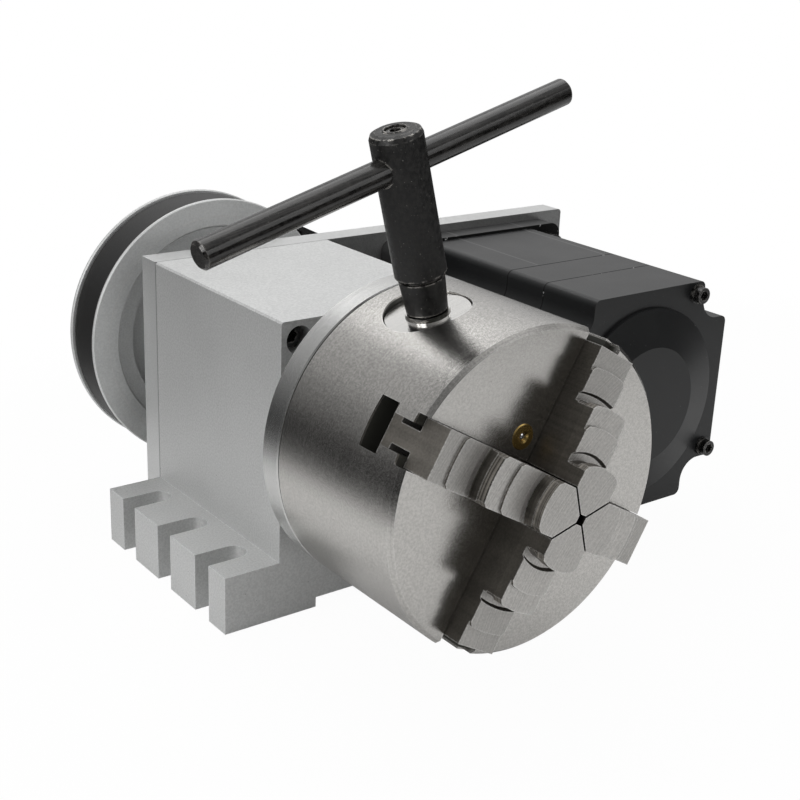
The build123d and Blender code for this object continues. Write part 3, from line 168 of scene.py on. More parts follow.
class Finish:
    """One material or world: adds nodes and joins the surface."""

    def __init__(self, name, owner=None):
        self.owner = owner or bpy.data.materials.new(name)
        self.owner.use_nodes = True
        self.tree = self.owner.node_tree
        self.tree.nodes.clear()

    def node(self, kind, settings=None, inputs=None, output=0):
        """Add a node, set it up, fill its inputs and give one of its outputs."""
        added = self.tree.nodes.new("ShaderNode" + kind)
        for name, value in (settings or {}).items():
            if name == "stops":
                grey_stops(added.color_ramp, value)
            else:
                setattr(added, name, value)
        for name, value in (inputs or {}).items():
            self.put(added.inputs[name], value)
        return Link(self, added.outputs[output]) if added.outputs else None

    def put(self, place, value):
        """Join a link to an input, or store a plain value on it."""
        if isinstance(value, Link):
            self.tree.links.new(value.socket, place)
        elif isinstance(value, tuple) and len(place.default_value) == 4 and len(value) == 3:
            place.default_value = (*value, 1.0)
        else:
            place.default_value = value

    def place(self):
        """Object coordinates, in metres."""
        return self.node("TexCoord", output="Object")

    def part_of(self, vector, axis):
        """One component of a vector."""
        return self.node("SeparateXYZ", None, {0: vector}, output=axis)

    def dot(self, one, other):
        """Cosine between two unit vectors, or length along one."""
        return self.node("VectorMath", {"operation": "DOT_PRODUCT"}, {0: one, 1: other}, output="Value")

    def mix(self, low, high, share, blend="MIX"):
        """From one colour to another by a share, or blended another way."""
        return self.node("Mix", {"data_type": "RGBA", "blend_type": blend}, {0: share, 6: low, 7: high}, 2)

    def shaded(self, colour, shade):
        """A colour made lighter or darker by a value."""
        return self.mix(colour, shade, 1.0, "MULTIPLY")

    def surface(self, colour, roughness, metallic, normal, extra=None):
        """Principled surface, joined to the output. Gives the finished material."""
        inputs = {"Base Color": colour, "Roughness": roughness, "Metallic": metallic, "Normal": normal}
        self.end_with(self.node("BsdfPrincipled", None, {**inputs, **(extra or {})}))
        return self.owner

    def end_with(self, shader, output="OutputMaterial"):
        """Join a shader to the output node, which is the last one."""
        self.node(output, None, {"Surface": shader})


print("finishes can be built")

# %% [markdown]
# A Skin is a finish that also knows the marks that tools and wear leave, each as one short recipe:
# noise for grain, rings for turning, cells for specks, and a comparison of a rounded normal with
# the real one to find the edges, which get wear and painted highlights. Painted pictures of
# scratches would need the pieces unwrapped.
# These recipes start from object coordinates instead, and nothing in them depends on the camera.


# %% Marks of tools and wear
class Skin(Finish):
    """A finish with the marks that making and wear leave."""

    def noise(self, scale, detail, place=None):
        """Soft noise about one half, with scale in cells per metre."""
        return self.node("TexNoise", None, {"Vector": place or self.place(), "Scale": scale,
                                            "Detail": detail})

    def lines(self, distance, scale, detail=3.0):
        """Noise that changes only with one distance, which draws lines across it."""
        return self.node("TexNoise", {"noise_dimensions": "1D"}, {"W": distance, "Scale": scale,
                                                                  "Detail": detail})

    def cells(self, scale):
        """Distance to the nearest of many scattered points, scale per metre."""
        return self.node("TexVoronoi", None, {"Vector": self.place(), "Scale": scale})

    def facing(self, axis):
        """How much the surface faces along or against an axis of the object."""
        return abs(self.part_of(self.node("TexCoord", output="Normal"), axis))

    def from_axis(self, x, z):
        """Distance from a line along Y."""
        spot = self.place()
        across = self.part_of(spot, 0) - x
        up = self.part_of(spot, 2) - z
        return (across * across + up * up) ** 0.5

    def rings(self, x, z, scale, detail=3.0):
        """Lathe marks: lines round an axis along Y."""
        return self.lines(self.from_axis(x, z), scale, detail)

    def edges(self, width, low=0.02, high=0.2):
        """1 along the edges of the piece, 0 on its flats."""
        rounded = self.node("Bevel", {"samples": 4}, {"Radius": width})
        flat = self.node("NewGeometry", output="Normal")
        return (1 - self.dot(rounded, flat)).band(low, high)

    def bump(self, height, depth, strength):
        """Normal of a surface raised by height times depth, in metres."""
        return self.node("Bump", None, {"Height": height, "Distance": depth, "Strength": strength})


print("recipes for marks and wear ready")

# %% [markdown]
# Bright metal shows what stands around it, so the studio matters as much as the metal. The real
# picture has a white table, soft light from above and behind, a dark band at eye level that draws
# the deep grey stripe low on the side of the chuck, and a dimmer room behind the camera, which
# keeps the flanks of the jaws dark. Walls and panels could be modelled, but a world that depends
# only on the direction of a ray does the same and never throws a shadow. Rays straight from the
# camera see plain white instead.

# %% The room
# Each pair is how steeply a ray rises, from -1 straight down to 1 straight up, and the grey there.
ROOM_BANDS = [(-1.0, 0.50), (-0.45, 0.46), (-0.26, 0.16), (-0.17, 0.04), (0.06, 0.04), (0.16, 0.17),
              (0.42, 0.26), (0.52, 0.72), (0.62, 0.30), (0.80, 0.74), (1.0, 0.78)]
WINDOW_WAY, WINDOW_LIGHT = (0.50, 0.74, 0.45), 0.42
DIM_WAY, DIM_SHARE = (-0.572, -0.744, 0.344), 0.58
WHITE = (1.0, 1.0, 1.0)

world = bpy.data.worlds.new("studio_room")
scene.world = world
room = Finish("studio_room", world)
ray = room.node("TexCoord", output="Generated")
steepness = room.part_of(ray, 2)
bands = room.node("ValToRGB", {"stops": [(rise * 0.5 + 0.5, grey) for rise, grey in ROOM_BANDS]},
                  {"Fac": steepness * 0.5 + 0.5})


def towards(direction):
    """How much a ray goes one way: the cosine of the angle between them."""
    return room.dot(ray, tuple(Vector(direction).normalized()))


window = towards(WINDOW_WAY).band(0.68, 0.97)
behind_camera = towards(DIM_WAY).band(0.30, 0.85)
# The ramp gives greys only, so Math nodes may work on them.
level = (bands + WINDOW_LIGHT * window) * (1 - DIM_SHARE * behind_camera)
seen = room.node("LightPath", output="Is Camera Ray")
light = room.node("Background", None, {"Color": level, "Strength": 1.0})
plain = room.node("Background", None, {"Color": WHITE, "Strength": 1.0})
both = room.node("MixShader", None, {0: seen, 1: light, 2: plain})
room.end_with(both, "OutputWorld")
print("room bands:", len(ROOM_BANDS))

# %% [markdown]
# The floor is a round sheet of white paper. It takes a faint soft shadow of the machine near the
# middle. Towards its rim the camera sees it turn into the white of the room, so that no edge
# shows, while in reflections it darkens there, as a table does at the end of the light. One
# sheet does both, because a light path node tells the two kinds of ray apart.

# %% The floor
FLOOR_RADIUS = 0.55
FLOOR_PLACE = (0.13, -0.14, -0.0002)
FADE_START, FADE_END = 0.27, 0.44
PAPER_DARK, PAPER_LIGHT = (0.84, 0.84, 0.84), (0.90, 0.90, 0.90)
paper = Skin("white_paper")
spread = paper.node("VectorMath", {"operation": "LENGTH"}, {0: paper.place()}, output="Value")
fade = spread.band(FADE_START, FADE_END)
fibres = paper.noise(900.0, 3.0)
sheet_white = paper.shaded(paper.mix(PAPER_DARK, PAPER_LIGHT, fibres), 1 - 0.85 * fade)
matt = paper.node("BsdfDiffuse", None, {"Color": sheet_white})
glow = paper.node("Emission", None, {"Color": WHITE, "Strength": 1.0})
camera_ray = paper.node("LightPath", output="Is Camera Ray")
# The last three hundredths that don't glow near the machine leave its shadow faint.
share = camera_ray * (0.97 + 0.03 * fade)
paper.end_with(paper.node("MixShader", None, {0: share, 1: matt, 2: glow}))

disc = bmesh.new()
bmesh.ops.create_circle(disc, cap_ends=True, segments=96, radius=FLOOR_RADIUS)
floor_mesh = bpy.data.meshes.new("floor_sheet")
disc.to_mesh(floor_mesh)
disc.free()
floor = bpy.data.objects.new("floor_sheet", floor_mesh)
floor.location = FLOOR_PLACE
floor_mesh.materials.append(paper.owner)
scene.collection.objects.link(floor)
print("floor radius", FLOOR_RADIUS)


# %% [markdown]
# Three large soft lamps: one overhead that is a little behind the machine, one from the left
# and one from the right front. They are wide, so shadows stay soft and edges get long glints.
# The world alone would light the machine too, but then nothing would show where up is.

# %% The lamps
def soft_lamp(name, place, target, width, depth, power):
    """A rectangular lamp that looks at a target."""
    data = bpy.data.lights.new(name, "AREA")
    data.shape = "RECTANGLE"
    data.size = width
    data.size_y = depth
    data.energy = power
    lamp = bpy.data.objects.new(name, data)
    lamp.location = place
    lamp.rotation_euler = (Vector(target) - Vector(place)).to_track_quat("-Z", "Y").to_euler()
    scene.collection.objects.link(lamp)
    return lamp


# Name, place, what it looks at, width and depth in metres, power in watts
LAMPS = [
    ("top_lamp", (0.15, 0.25, 0.95), (0.03, 0, 0.06), 0.9, 0.7, 2.6),
    ("left_lamp", (-0.95, -0.15, 0.52), (0, 0, 0.05), 0.6, 0.6, 4.4),
    ("front_lamp", (0.35, -0.95, 0.55), (0.02, 0, 0.05), 0.6, 0.5, 1.1),
]
for lamp in LAMPS:
    print("lamp", soft_lamp(*lamp).name)

# %% [markdown]
# Blasted aluminium: fine glass beads leave a silver skin of tiny dents. The dents scatter light
# so widely that the skin looks half matt, so the shader is a mix of metal and paint with a fairly
# high roughness, a grain of about half a millimetre, a few dark specks, and edges made lighter,
# partly rubbed by handling and partly a painted highlight. Where block and plate meet runs a thin
# dark seam. It is drawn by its place along Y, which is simpler than a groove that would be thinner
# than a hair.

# %% Headstock aluminium
AXIS_Z = 0.065
SEAM_Y = 0.041
SEAM_HALF, SEAM_SOFT = 0.00015, 0.00045
# The first colour lightens the edges: partly rubbed by handling, partly a painted highlight.
ALUMINIUM_WEAR_AND_HIGHLIGHT, SEAM_DARK = (0.90, 0.91, 0.92), (0.10, 0.10, 0.10)
SKIN_METAL = 0.62


def blasted_aluminium(name, colour, roughness, strength):
    """Skin of small dents. Strength is how much its grain shows."""
    f = Skin(name)
    grain = f.noise(1500.0, 3.0).band(0.34, 0.66)
    fine = f.noise(3600.0, 2.0)
    cloud = f.noise(40.0, 3.0)
    specks = 1 - f.cells(210.0).band(0.030, 0.055)
    seam = 1 - abs(f.part_of(f.place(), 1) - SEAM_Y).band(SEAM_HALF, SEAM_SOFT)
    shade = 0.86 + strength * (grain - 0.5) + 0.10 * (fine - 0.5) + 0.08 * (cloud - 0.5) - 0.35 * specks
    tint = f.shaded(colour, shade)
    # Edges go lighter: partly wear from handling, partly a painted highlight where rounded edges catch the
    # light.
    worn_and_painted_light = f.mix(tint, ALUMINIUM_WEAR_AND_HIGHLIGHT, f.edges(0.0006) * (0.4 + 0.6 * grain))
    shut = f.mix(worn_and_painted_light, SEAM_DARK, seam * (0.4 + 0.5 * fine))
    rough = roughness + 0.10 * (cloud - 0.5) + 0.12 * (grain - 0.5)
    return f.surface(shut, rough, SKIN_METAL, f.bump(grain + 0.6 * fine, 0.00003, 0.5))


block_finish = blasted_aluminium("block_aluminium", (0.76, 0.765, 0.76), 0.54, 0.14)
plate_finish = blasted_aluminium("plate_aluminium", (0.80, 0.805, 0.80), 0.36, 0.08)
print("made", block_finish.name, plate_finish.name)

# %% [markdown]
# Chuck steel: the side and the face are turned, then polished a little. Turning leaves rings
# about the axis on the face and hoops round the side, with a sandy speckle over both. The finest
# hoops are too small to see one by one, but they tilt the surface to and fro along the axis. So
# reflections stay crisp around the chuck and smear along it, which is the look of brushed metal.
# An anisotropic shader could smear them too, but a bump of fine lines is what really happens.
#
# Inside the jaw slots, and in the thin seam behind the chuck, a painted shade makes the steel almost
# black and less metallic. The shaded zone is told by place: between two depths along Y, and closer
# to the axis than a radius.

# %% Chuck steel
CHUCK_FACE = -0.1175
HOOP_SCALE, RING_SCALE, HAIR_SCALE = 4200.0, 3400.0, 9500.0
# The first colour lightens the edges, partly wear and partly a painted highlight; the second is painted
# shade for hollows.
STEEL_EDGE_WEAR_AND_HIGHLIGHT, PAINTED_SHADE_DARK = (0.88, 0.87, 0.86), (0.060, 0.060, 0.052)
# Painted shade zones: start and end along Y, radius, and the length over which the painted shade comes in
CHUCK_SLOT_SHADE = (CHUCK_FACE + 0.0002, 0.0, 0.0495, 0.0028)
ADAPTER_SEAM_SHADE = (-0.0627, -0.0614, 0.0498, 0.0001)


def turned_steel(name, colour, roughness, speckle=0.5, hoop=1.0, painted_shade_zone=None, metal=1.0):
    """Lathe turned metal: hoops round the side, rings on the ends and specks over both."""
    f = Skin(name)
    spot = f.place()
    depth = f.part_of(spot, 1)
    on_face = f.facing(1).band(0.5, 0.9)
    hoops = f.lines(depth, HOOP_SCALE)
    marks = hoops + (f.rings(0.0, AXIS_Z, RING_SCALE) - hoops) * on_face
    hair = f.lines(depth, HAIR_SCALE, 1.0)
    hair = hair + (f.rings(0.0, AXIS_Z, HAIR_SCALE, 1.0) - hair) * on_face
    sand = f.noise(1500.0, 4.0).band(0.30, 0.70)
    cloud = f.noise(45.0, 3.0)
    specks = 1 - f.cells(260.0).band(0.035, 0.06)
    shade = (0.88 + 0.08 * hoop * (marks - 0.5) + 0.24 * speckle * (sand - 0.5) + 0.10 * (cloud - 0.5)
             - 0.30 * speckle * specks)
    tint = f.shaded(colour, shade)
    # Edges go lighter: partly wear, partly a painted highlight where rounded edges catch the light.
    worn_and_painted_light = f.mix(tint, STEEL_EDGE_WEAR_AND_HIGHLIGHT, f.edges(0.0005) * (0.5 + 0.5 * sand))
    # Painted shade: in the hollows of the jaw slots and the seam the colour goes almost black and the metal
    # drops.
    if painted_shade_zone:
        start, end, radius, fade_in = painted_shade_zone
        painted_shade = (depth - start).band(0.0, fade_in) * (end - depth).band(0.0, 0.0001)
        painted_shade = painted_shade * (1 - f.from_axis(0.0, AXIS_Z).band(radius - 0.0003, radius))
        worn_and_painted_light = f.mix(worn_and_painted_light, PAINTED_SHADE_DARK, painted_shade)
        metal = 1 - 0.9 * painted_shade
    rough = roughness + 0.08 * (cloud - 0.5) + 0.05 * speckle * (sand - 0.5)
    relief = hoop * hair * (1 - 0.8 * on_face) + 0.30 * speckle * sand
    return f.surface(worn_and_painted_light, rough, metal, f.bump(relief, 0.000018, 1.0))


chuck_finish = turned_steel("chuck_steel", (0.63, 0.615, 0.59), 0.23, 0.9, 1.0, CHUCK_SLOT_SHADE)
adapter_finish = turned_steel("adapter_steel", (0.74, 0.74, 0.73), 0.24, 0.2, 1.2, ADAPTER_SEAM_SHADE)
spindle_finish = turned_steel("spindle_steel", (0.60, 0.60, 0.60), 0.22, 0.15, 1.0)
print("made", chuck_finish.name, adapter_finish.name, spindle_finish.name)

# %% [markdown]
# Jaws are hardened black all over, and then ground. Their flats are bright, with fine curved
# lines from the grinding wheel. The outer ends and the upper lands of the steps are ground too,
# but stay brownish and drawn with dark streaks. The flanks stay dark. Each kind of face could
# have its own material, but the shader can tell them apart by which way they look: along the
# axis, away from it, or aside. Height above the chuck face tells the levels of the steps apart.

# %% Jaw steel
WHEEL_X, WHEEL_Z = 0.085, -0.01
FOOT_HEIGHT, LOWER_LEDGE, UPPER_LEDGE = 0.0068, 0.0102, 0.0182
STEP_LANDS = ((0.0174, 0.0204), (0.0104, 0.0136))
EDGE_BLUR = 0.0002
# The last colour is a painted highlight for the edges of the jaws.
FLANK_DARK, END_BROWN, JAW_EDGE_HIGHLIGHT = (0.19, 0.18, 0.165), (0.50, 0.48, 0.45), (0.88, 0.87, 0.85)


def ground_steel(name, colour, roughness):
    """Black steel with bright ground flats, brown ends and dark flanks."""
    f = Skin(name)
    spot = f.place()
    wheel = f.rings(WHEEL_X, WHEEL_Z, 2300.0, 4.0).band(0.3, 0.7)
    drawn = f.lines(f.part_of(spot, 1), 1250.0, 2.0).band(0.36, 0.62)
    sand = f.noise(1500.0, 3.0).band(0.32, 0.68)
    blotch = f.noise(170.0, 3.0)
    away = f.node("CombineXYZ", None, {0: f.part_of(spot, 0), 1: 0.0, 2: f.part_of(spot, 2) - AXIS_Z})
    away = f.node("VectorMath", {"operation": "NORMALIZE"}, {0: away})
    outward = f.dot(away, f.node("TexCoord", output="Normal"))
    height = CHUCK_FACE - f.part_of(spot, 1)
    land = sum(height.band(low, low + EDGE_BLUR) * (1 - height.band(high, high + EDGE_BLUR))
               for low, high in STEP_LANDS)
    foot = 1 - height.band(FOOT_HEIGHT - EDGE_BLUR, FOOT_HEIGHT + EDGE_BLUR)
    on_top = f.facing(1).band(0.6, 0.85)
    end = outward.band(0.6, 0.9) * (0.25 + 0.75 * (land + foot).at_most(1.0))
    shade = 0.86 + 0.16 * (wheel - 0.5) + 0.16 * (sand - 0.5) + 0.20 * (blotch - 0.5)
    lower = height.band(LOWER_LEDGE - EDGE_BLUR, LOWER_LEDGE + EDGE_BLUR)
    upper = height.band(UPPER_LEDGE - EDGE_BLUR, UPPER_LEDGE + EDGE_BLUR)
    shade = shade * (0.92 + 0.16 * lower - 0.08 * upper)
    tint = f.shaded(colour, shade)
    side = f.mix(FLANK_DARK, END_BROWN, end)
    side = f.shaded(f.shaded(tint, side), 1 - end * (0.75 - drawn) * (1 - foot))
    both = f.mix(side, tint, on_top)
    # Painted highlight: edges of the jaws go light where their small chamfers would catch the light.
    worn_and_painted_light = f.mix(both, JAW_EDGE_HIGHLIGHT, f.edges(0.0006, 0.01, 0.14) * (0.35 + 0.65 * sand))
    rough = roughness + 0.12 * (blotch - 0.5) + 0.08 * (1 - on_top)
    return f.surface(worn_and_painted_light, rough, 1 - 0.45 * on_top, f.bump(wheel + 0.7 * sand, 0.00002, 0.5))


jaw_finish = ground_steel("jaw_steel", (0.60, 0.585, 0.56), 0.38)
print("made", jaw_finish.name)

# %% [markdown]
# Black oxide on tool steel is thin and uneven: brown black with a mottled look and bare bright
# metal in scattered grains. Along the edges the bright metal is partly wear and partly a painted
# highlight. Paint would hide the steel, so bareness also drives the metal of the shader. The bar of
# the key has the same skin, but drawn out lengthwise: its coordinates are squeezed along the bar
# before they go into the noise.

# %% Black tool steel
BAR_WAY = (0.9649, -0.0471, 0.2585)
BAR_SQUEEZE = 0.985
OXIDE_DARK, OXIDE_LIGHT = (0.003, 0.0029, 0.0027), (0.016, 0.015, 0.014)
# The second colour is bare steel, on the edges also a painted highlight.
BAR_STREAK, BARE_STEEL_AND_HIGHLIGHT = (0.050, 0.047, 0.044), (0.50, 0.48, 0.45)


def black_oxide(name, roughness, streaks=0.0, wear=1.0):
    """Black steel, bare in grains; its edges partly bare, partly a painted highlight. Streaks draws the skin
    out along the bar.
    """
    f = Skin(name)
    mottle = f.noise(750.0, 4.0).band(0.34, 0.68)
    sparks = f.noise(1900.0, 2.0).band(0.70, 0.76)
    # Edges go bare and bright: partly wear, partly a painted highlight on the crown and other edges.
    rubbed_and_highlighted_edges = f.edges(0.0008, 0.008, 0.06) * f.noise(620.0, 3.0).band(0.42, 0.58)
    skin = f.mix(OXIDE_DARK, OXIDE_LIGHT, mottle)
    if streaks:
        spot = f.place()
        along = f.dot(spot, BAR_WAY)
        way = f.node("VectorMath", {"operation": "SCALE"}, {0: BAR_WAY, "Scale": along * BAR_SQUEEZE})
        squeezed = f.node("VectorMath", {"operation": "SUBTRACT"}, {0: spot, 1: way})
        drawn = f.noise(2200.0, 3.0, place=squeezed).band(0.35, 0.7)
        skin = f.mix(skin, BAR_STREAK, streaks * drawn)
    bare_and_highlighted = (wear * (sparks * 0.5 + rubbed_and_highlighted_edges)).at_most(1.0)
    tint = f.mix(skin, BARE_STEEL_AND_HIGHLIGHT, bare_and_highlighted)
    rough = roughness + 0.18 * (mottle - 0.5) * (1 - 0.8 * streaks)
    relief = 0.000006 if streaks else 0.00003
    return f.surface(tint, rough, 0.85 * bare_and_highlighted, f.bump(mottle + sparks, relief, 0.6))


key_finish = black_oxide("key_black", 0.46)
bar_finish = black_oxide("bar_black", 0.17, streaks=0.7, wear=0.4)
screw_finish = black_oxide("black_steel", 0.20, wear=0.5)
print("made", key_finish.name, bar_finish.name, screw_finish.name)

# %% [markdown]
# The motor is cast and painted. Its case is stacked from a body, a middle and a cap, and the
# joints show as thin dark seams, chipped to bare metal here and there. Two fine light lines run
# lengthwise on the top of the body. Seams and lines are drawn by their places, one sum for each
# kind, because they are narrower than any groove worth modelling.

# %% Motor paint
MOTOR_SEAMS = (0.032, -0.0155, -0.035)
MOTOR_LINES = (0.0925, 0.1265)
BODY_FRONT = -0.0145
DUST_GREY, LINE_GREY = (0.16, 0.16, 0.16), (0.11, 0.11, 0.11)
SEAM_BLACK, CHIP_METAL = (0.0, 0.0, 0.0), (0.55, 0.55, 0.55)


def motor_paint(name, colour, roughness):
    """Black paint with a fine peel, dust, seams and chips."""
    f = Skin(name)
    spot = f.place()
    across, along = f.part_of(spot, 0), f.part_of(spot, 1)
    peel = f.noise(1700.0, 3.0)
    cloud = f.noise(60.0, 3.0)
    dust = f.noise(1300.0, 2.0).band(0.72, 0.77)
    seam = sum(1 - abs(along - place).band(0.00012, 0.0004) for place in MOTOR_SEAMS)
    line = sum(1 - abs(across - place).band(0.0002, 0.0005) for place in MOTOR_LINES)
    line = line * f.facing(2).band(0.8, 0.95) * along.band(BODY_FRONT - 0.0005, BODY_FRONT + 0.0005)
    chips = f.noise(330.0, 2.0).band(0.66, 0.70)
    shade = 0.75 + 0.30 * cloud + 0.30 * peel
    tint = f.mix(f.shaded(colour, shade), DUST_GREY, 0.5 * dust)
    tint = f.mix(tint, LINE_GREY, 0.8 * line)
    tint = f.mix(tint, SEAM_BLACK, seam * (1 - chips))
    tint = f.mix(tint, CHIP_METAL, (seam + 0.6 * f.edges(0.0005)) * chips)
    rough = roughness + 0.10 * (cloud - 0.5) + 0.10 * (peel - 0.5) + 0.5 * seam
    return f.surface(tint, rough, 0.0, f.bump(peel, 0.00003, 0.4), {"Specular IOR Level": 0.4})


motor_finish = motor_paint("motor_black", (0.013, 0.0135, 0.014), 0.34)
flange_finish = motor_paint("motor_flange_black", (0.030, 0.030, 0.030), 0.42)
print("made", motor_finish.name, flange_finish.name)

# %% [markdown]
# Plain parts share one recipe: a colour with slow clouds and fine grain, a roughness that
# follows them, a shallow relief, and edges that wear towards a second colour. Most of them are
# small or hidden, so one recipe with other numbers serves bearings, windings, rubber and brass.


# %% A recipe for the other finishes
def worked(name, colour, roughness, metallic, grain_scale, relief, edge_colour=None):
    """Grain scale in cells per metre, relief in metres."""
    f = Skin(name)
    grain = f.noise(grain_scale, 3.0)
    cloud = f.noise(90.0, 3.0)
    shade = 0.8 + 0.2 * (grain + cloud)
    tint = f.shaded(colour, shade)
    if edge_colour:
        tint = f.mix(tint, edge_colour, f.edges(0.0005) * (0.3 + 0.7 * grain))
    rough = roughness + 0.16 * (grain - 0.5) + 0.10 * (cloud - 0.5)
    return f.surface(tint, rough, metallic, f.bump(grain, relief, 0.6))


finishes = {
    "block_aluminium": block_finish,
    "plate_aluminium": plate_finish,
    "chuck_steel": chuck_finish,
    "jaw_steel": jaw_finish,
    "spindle_steel": spindle_finish,
    "bearing_steel": worked("bearing_steel", (0.74, 0.74, 0.75), 0.12, 1.0, 900.0, 0.000003),
    "cage_steel": worked("cage_steel", (0.66, 0.66, 0.66), 0.32, 1.0, 1500.0, 0.00001),
    "pinion_steel": turned_steel("pinion_steel", (0.76, 0.75, 0.73), 0.11, 0.12, 0.5),
    "black_steel": screw_finish,
    "motor_black": motor_finish,
    "motor_flange_black": flange_finish,
    "lamination": worked("lamination", (0.32, 0.31, 0.30), 0.45, 1.0, 1200.0, 0.00002),
    "copper_wire": worked("copper_wire", (0.72, 0.30, 0.12), 0.30, 1.0, 1400.0, 0.00005),
    "board_green": worked("board_green", (0.02, 0.16, 0.06), 0.35, 0.0, 700.0, 0.00001),
    "disc_grey": worked("disc_grey", (0.10, 0.10, 0.11), 0.15, 0.0, 500.0, 0.000005),
    "pulley_aluminium": turned_steel("pulley_aluminium", (0.86, 0.87, 0.865), 0.50, 0.4, 0.8, metal=0.5),
    "belt_rubber": worked("belt_rubber", (0.014, 0.0135, 0.0135), 0.50, 0.0, 1500.0, 0.00004),
    "seal_rubber": worked("seal_rubber", (0.016, 0.016, 0.016), 0.50, 0.0, 1800.0, 0.00002),
    "oiler_brass": worked("oiler_brass", (0.72, 0.50, 0.17), 0.24, 1.0, 1500.0, 0.00001, (0.88, 0.70, 0.38)),
    "inlet_metal": worked("inlet_metal", (0.62, 0.61, 0.60), 0.28, 1.0, 1400.0, 0.00001),
}
print("finishes:", len(finishes))

# %% [markdown]
# Each solid names its slot in the record, so its finish is looked up there and no second list has
# to be kept. There are three exceptions: the adapter ring is freshly turned and brighter than the
# chuck, and the key and its bar are black steel like the screws, but one is duller and more
# mottled, and the other is drawn out lengthwise.

# %% Put the finishes on the solids
slot_of = {part["node"]: part["material_slot"] for part in frame["record"]["subparts"]}


def dress(node, material):
    """Give a solid its material, on all of its slots."""
    piece = nodes[node]
    if piece.material_slots:
        for place in piece.material_slots:
            place.material = material
    else:
        piece.data.materials.append(material)


for node in nodes:
    dress(node, finishes[slot_of[node]])
dress("chuck_adapter", adapter_finish)
dress("chuck_key", key_finish)
dress("key_bar", bar_finish)
print("dressed", len(nodes), "solids")

# %% [markdown]
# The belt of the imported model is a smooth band. The real one has round teeth inside, five
# millimetres apart, that sit in the grooves of both pulleys. Its path is two arcs and the two
# straight runs that touch them. A tooth could be copied along a curve, but then its base would
# not bend with the belt, so the path is walked in quarter millimetres instead. The teeth lie at
# the grooves on each arc and are spread evenly along the straight runs between them.

# %% Where the belt runs
PULLEYS = ((Vector((0.0, AXIS_Z)), 0.04751, 60), (Vector((0.104, 0.055)), 0.01170, 15))
BELT_Y = (0.0655, 0.0805)
BELT_THICKNESS = 0.0019
TOOTH_HALF, TOOTH_HEIGHT, TOOTH_PITCH = 0.00125, 0.00165, 0.005
STRIDE = 0.00025
apart = PULLEYS[1][0] - PULLEYS[0][0]
lean = atan2(apart.y, apart.x)
wrap = acos((PULLEYS[0][1] - PULLEYS[1][1]) / apart.length)
straight = apart.length * sin(wrap)
arcs = [(*PULLEYS[0], lean + wrap, lean - wrap + 2 * pi), (*PULLEYS[1], lean - wrap, lean + wrap)]

belt_line = []
groove_marks = []
travelled = 0.0
for centre, radius, grooves, start, end in arcs:
    length = (end - start) * radius
    groove_step = 2 * pi / grooves
    for groove in range(ceil(start / groove_step), int(end // groove_step) + 1):
        groove_marks.append(travelled + (groove * groove_step - start) * radius)
    pieces = round(length / STRIDE)
    for i in range(pieces):
        angle = start + (end - start) * i / pieces
        outward = Vector((cos(angle), sin(angle)))
        belt_line.append((travelled + length * i / pieces, centre + outward * radius, outward))
    outward = Vector((cos(end), sin(end)))
    run = Vector((-outward.y, outward.x))
    pieces = round(straight / STRIDE)
    for i in range(pieces):
        gone = straight * i / pieces
        belt_line.append((travelled + length + gone, centre + outward * radius + run * gone, outward))
    travelled += length + straight

tooth_marks = []
for here, there in zip(groove_marks, groove_marks[1:] + [groove_marks[0] + travelled]):
    count = max(1, round((there - here) / TOOTH_PITCH))
    tooth_marks += [here + (there - here) * i / count for i in range(count)]
print("belt", round(travelled * 1000, 1), "mm round with", len(tooth_marks), "teeth")

# %% [markdown]
# The mesh is one strip of rings. Each ring has four corners: inner and outer, front and rear. Only
# the inner corners move in by the height of a tooth, which is half an ellipse. Teeth could be
# joined to a plain band with a boolean, but moving one corner is quicker and leaves no stray faces.


# %% The toothed belt
def tooth_height(distance):
    """How far the belt's inside stands in at a distance along it."""
    gap = min(abs((distance - mark + travelled / 2) % travelled - travelled / 2) for mark in tooth_marks)
    return TOOTH_HEIGHT * max(0.0, 1 - (gap / TOOTH_HALF) ** 2) ** 0.5


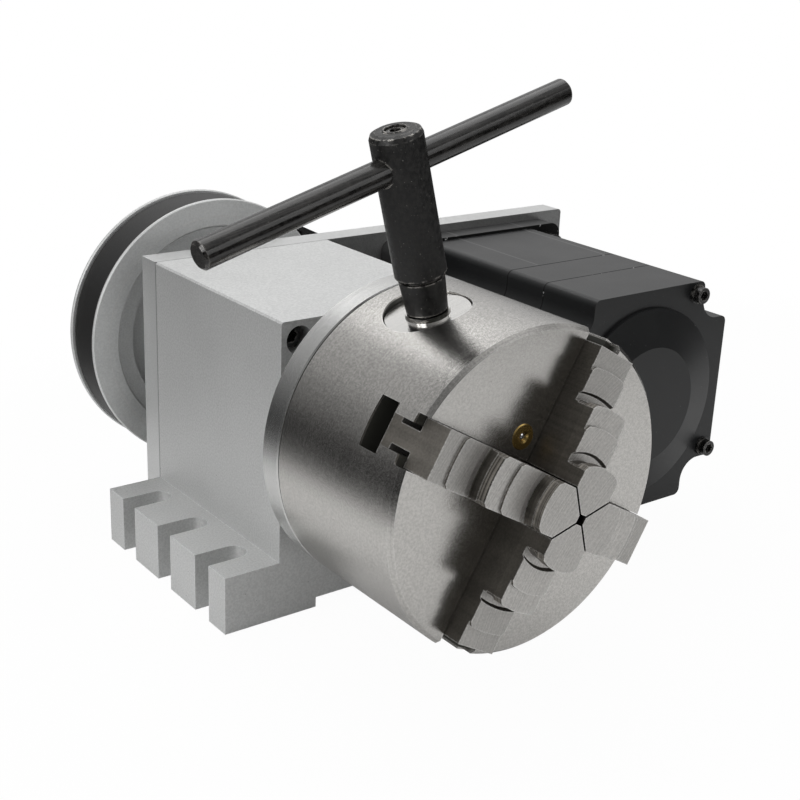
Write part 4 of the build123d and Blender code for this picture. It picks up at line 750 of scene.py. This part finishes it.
strip = bmesh.new()
rings = []
for distance, place, outward in belt_line:
    inner = place - outward * tooth_height(distance)
    outer = place + outward * BELT_THICKNESS
    rings.append([strip.verts.new((p.x, y, p.y)) for p in (inner, outer) for y in BELT_Y])
for here, there in zip(rings, rings[1:] + rings[:1]):
    for a, b in ((0, 1), (1, 3), (3, 2), (2, 0)):
        strip.faces.new((here[a], here[b], there[b], there[a]))
bmesh.ops.recalc_face_normals(strip, faces=strip.faces)
belt_mesh = bpy.data.meshes.new("toothed_belt")
strip.to_mesh(belt_mesh)
strip.free()
belt = bpy.data.objects.new("toothed_belt", belt_mesh)
belt_mesh.materials.append(finishes["belt_rubber"])
scene.collection.objects.link(belt)
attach(belt, "housing")
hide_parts("drive_belt")
print("belt faces", len(belt_mesh.polygons))

# %% [markdown]
# The ball of the brass oiler rests on a small coil spring, which shortens when the ball is
# pressed in. The spring is drawn again here as a mesh with the same sizes as the solid of the
# imported model: its wire is a ring of ten points carried along a helix. A curve with a round bevel
# would be shorter to write. Its rear end is its seat in the cup.

# %% The spring of the oiler
SPRING_X, SPRING_Z = -0.004995, 0.083642
SPRING_FRONT, SPRING_REAR, SPRING_SEAT = -0.11486, -0.1107, -0.1105
COIL_RADIUS, COIL_RISE, WIRE_RADIUS = 0.00115, 0.00085, 0.0002
coil_length = SPRING_REAR - SPRING_FRONT
turns = coil_length / COIL_RISE
steps = round(turns * 32)
wire_angles = [2 * pi * k / 10 for k in range(10)]

coil = bmesh.new()
wire_rings = []
for i in range(steps + 1):
    angle = 2 * pi * turns * i / steps
    outward = Vector((cos(angle), 0, sin(angle)))
    middle = Vector((SPRING_X, SPRING_FRONT + coil_length * i / steps, SPRING_Z))
    wire_rings.append([coil.verts.new(middle + outward * (COIL_RADIUS + WIRE_RADIUS * cos(a))
                                      + Vector((0, WIRE_RADIUS * sin(a), 0))) for a in wire_angles])
for here, there in zip(wire_rings, wire_rings[1:]):
    for k in range(10):
        after = (k + 1) % 10
        coil.faces.new((here[k], here[after], there[after], there[k]))
coil.faces.new(wire_rings[0])
coil.faces.new(wire_rings[-1])
bmesh.ops.recalc_face_normals(coil, faces=coil.faces)
spring_mesh = bpy.data.meshes.new("coil_spring")
coil.to_mesh(spring_mesh)
coil.free()
spring = bpy.data.objects.new("coil_spring", spring_mesh)
spring_mesh.materials.append(finishes["spindle_steel"])
scene.collection.objects.link(spring)
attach(spring, "spindle")
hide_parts("oiler_spring")
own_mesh(spring)
print("spring turns", round(turns, 1))

# %% [markdown]

# %% The end
print("scene dressed")
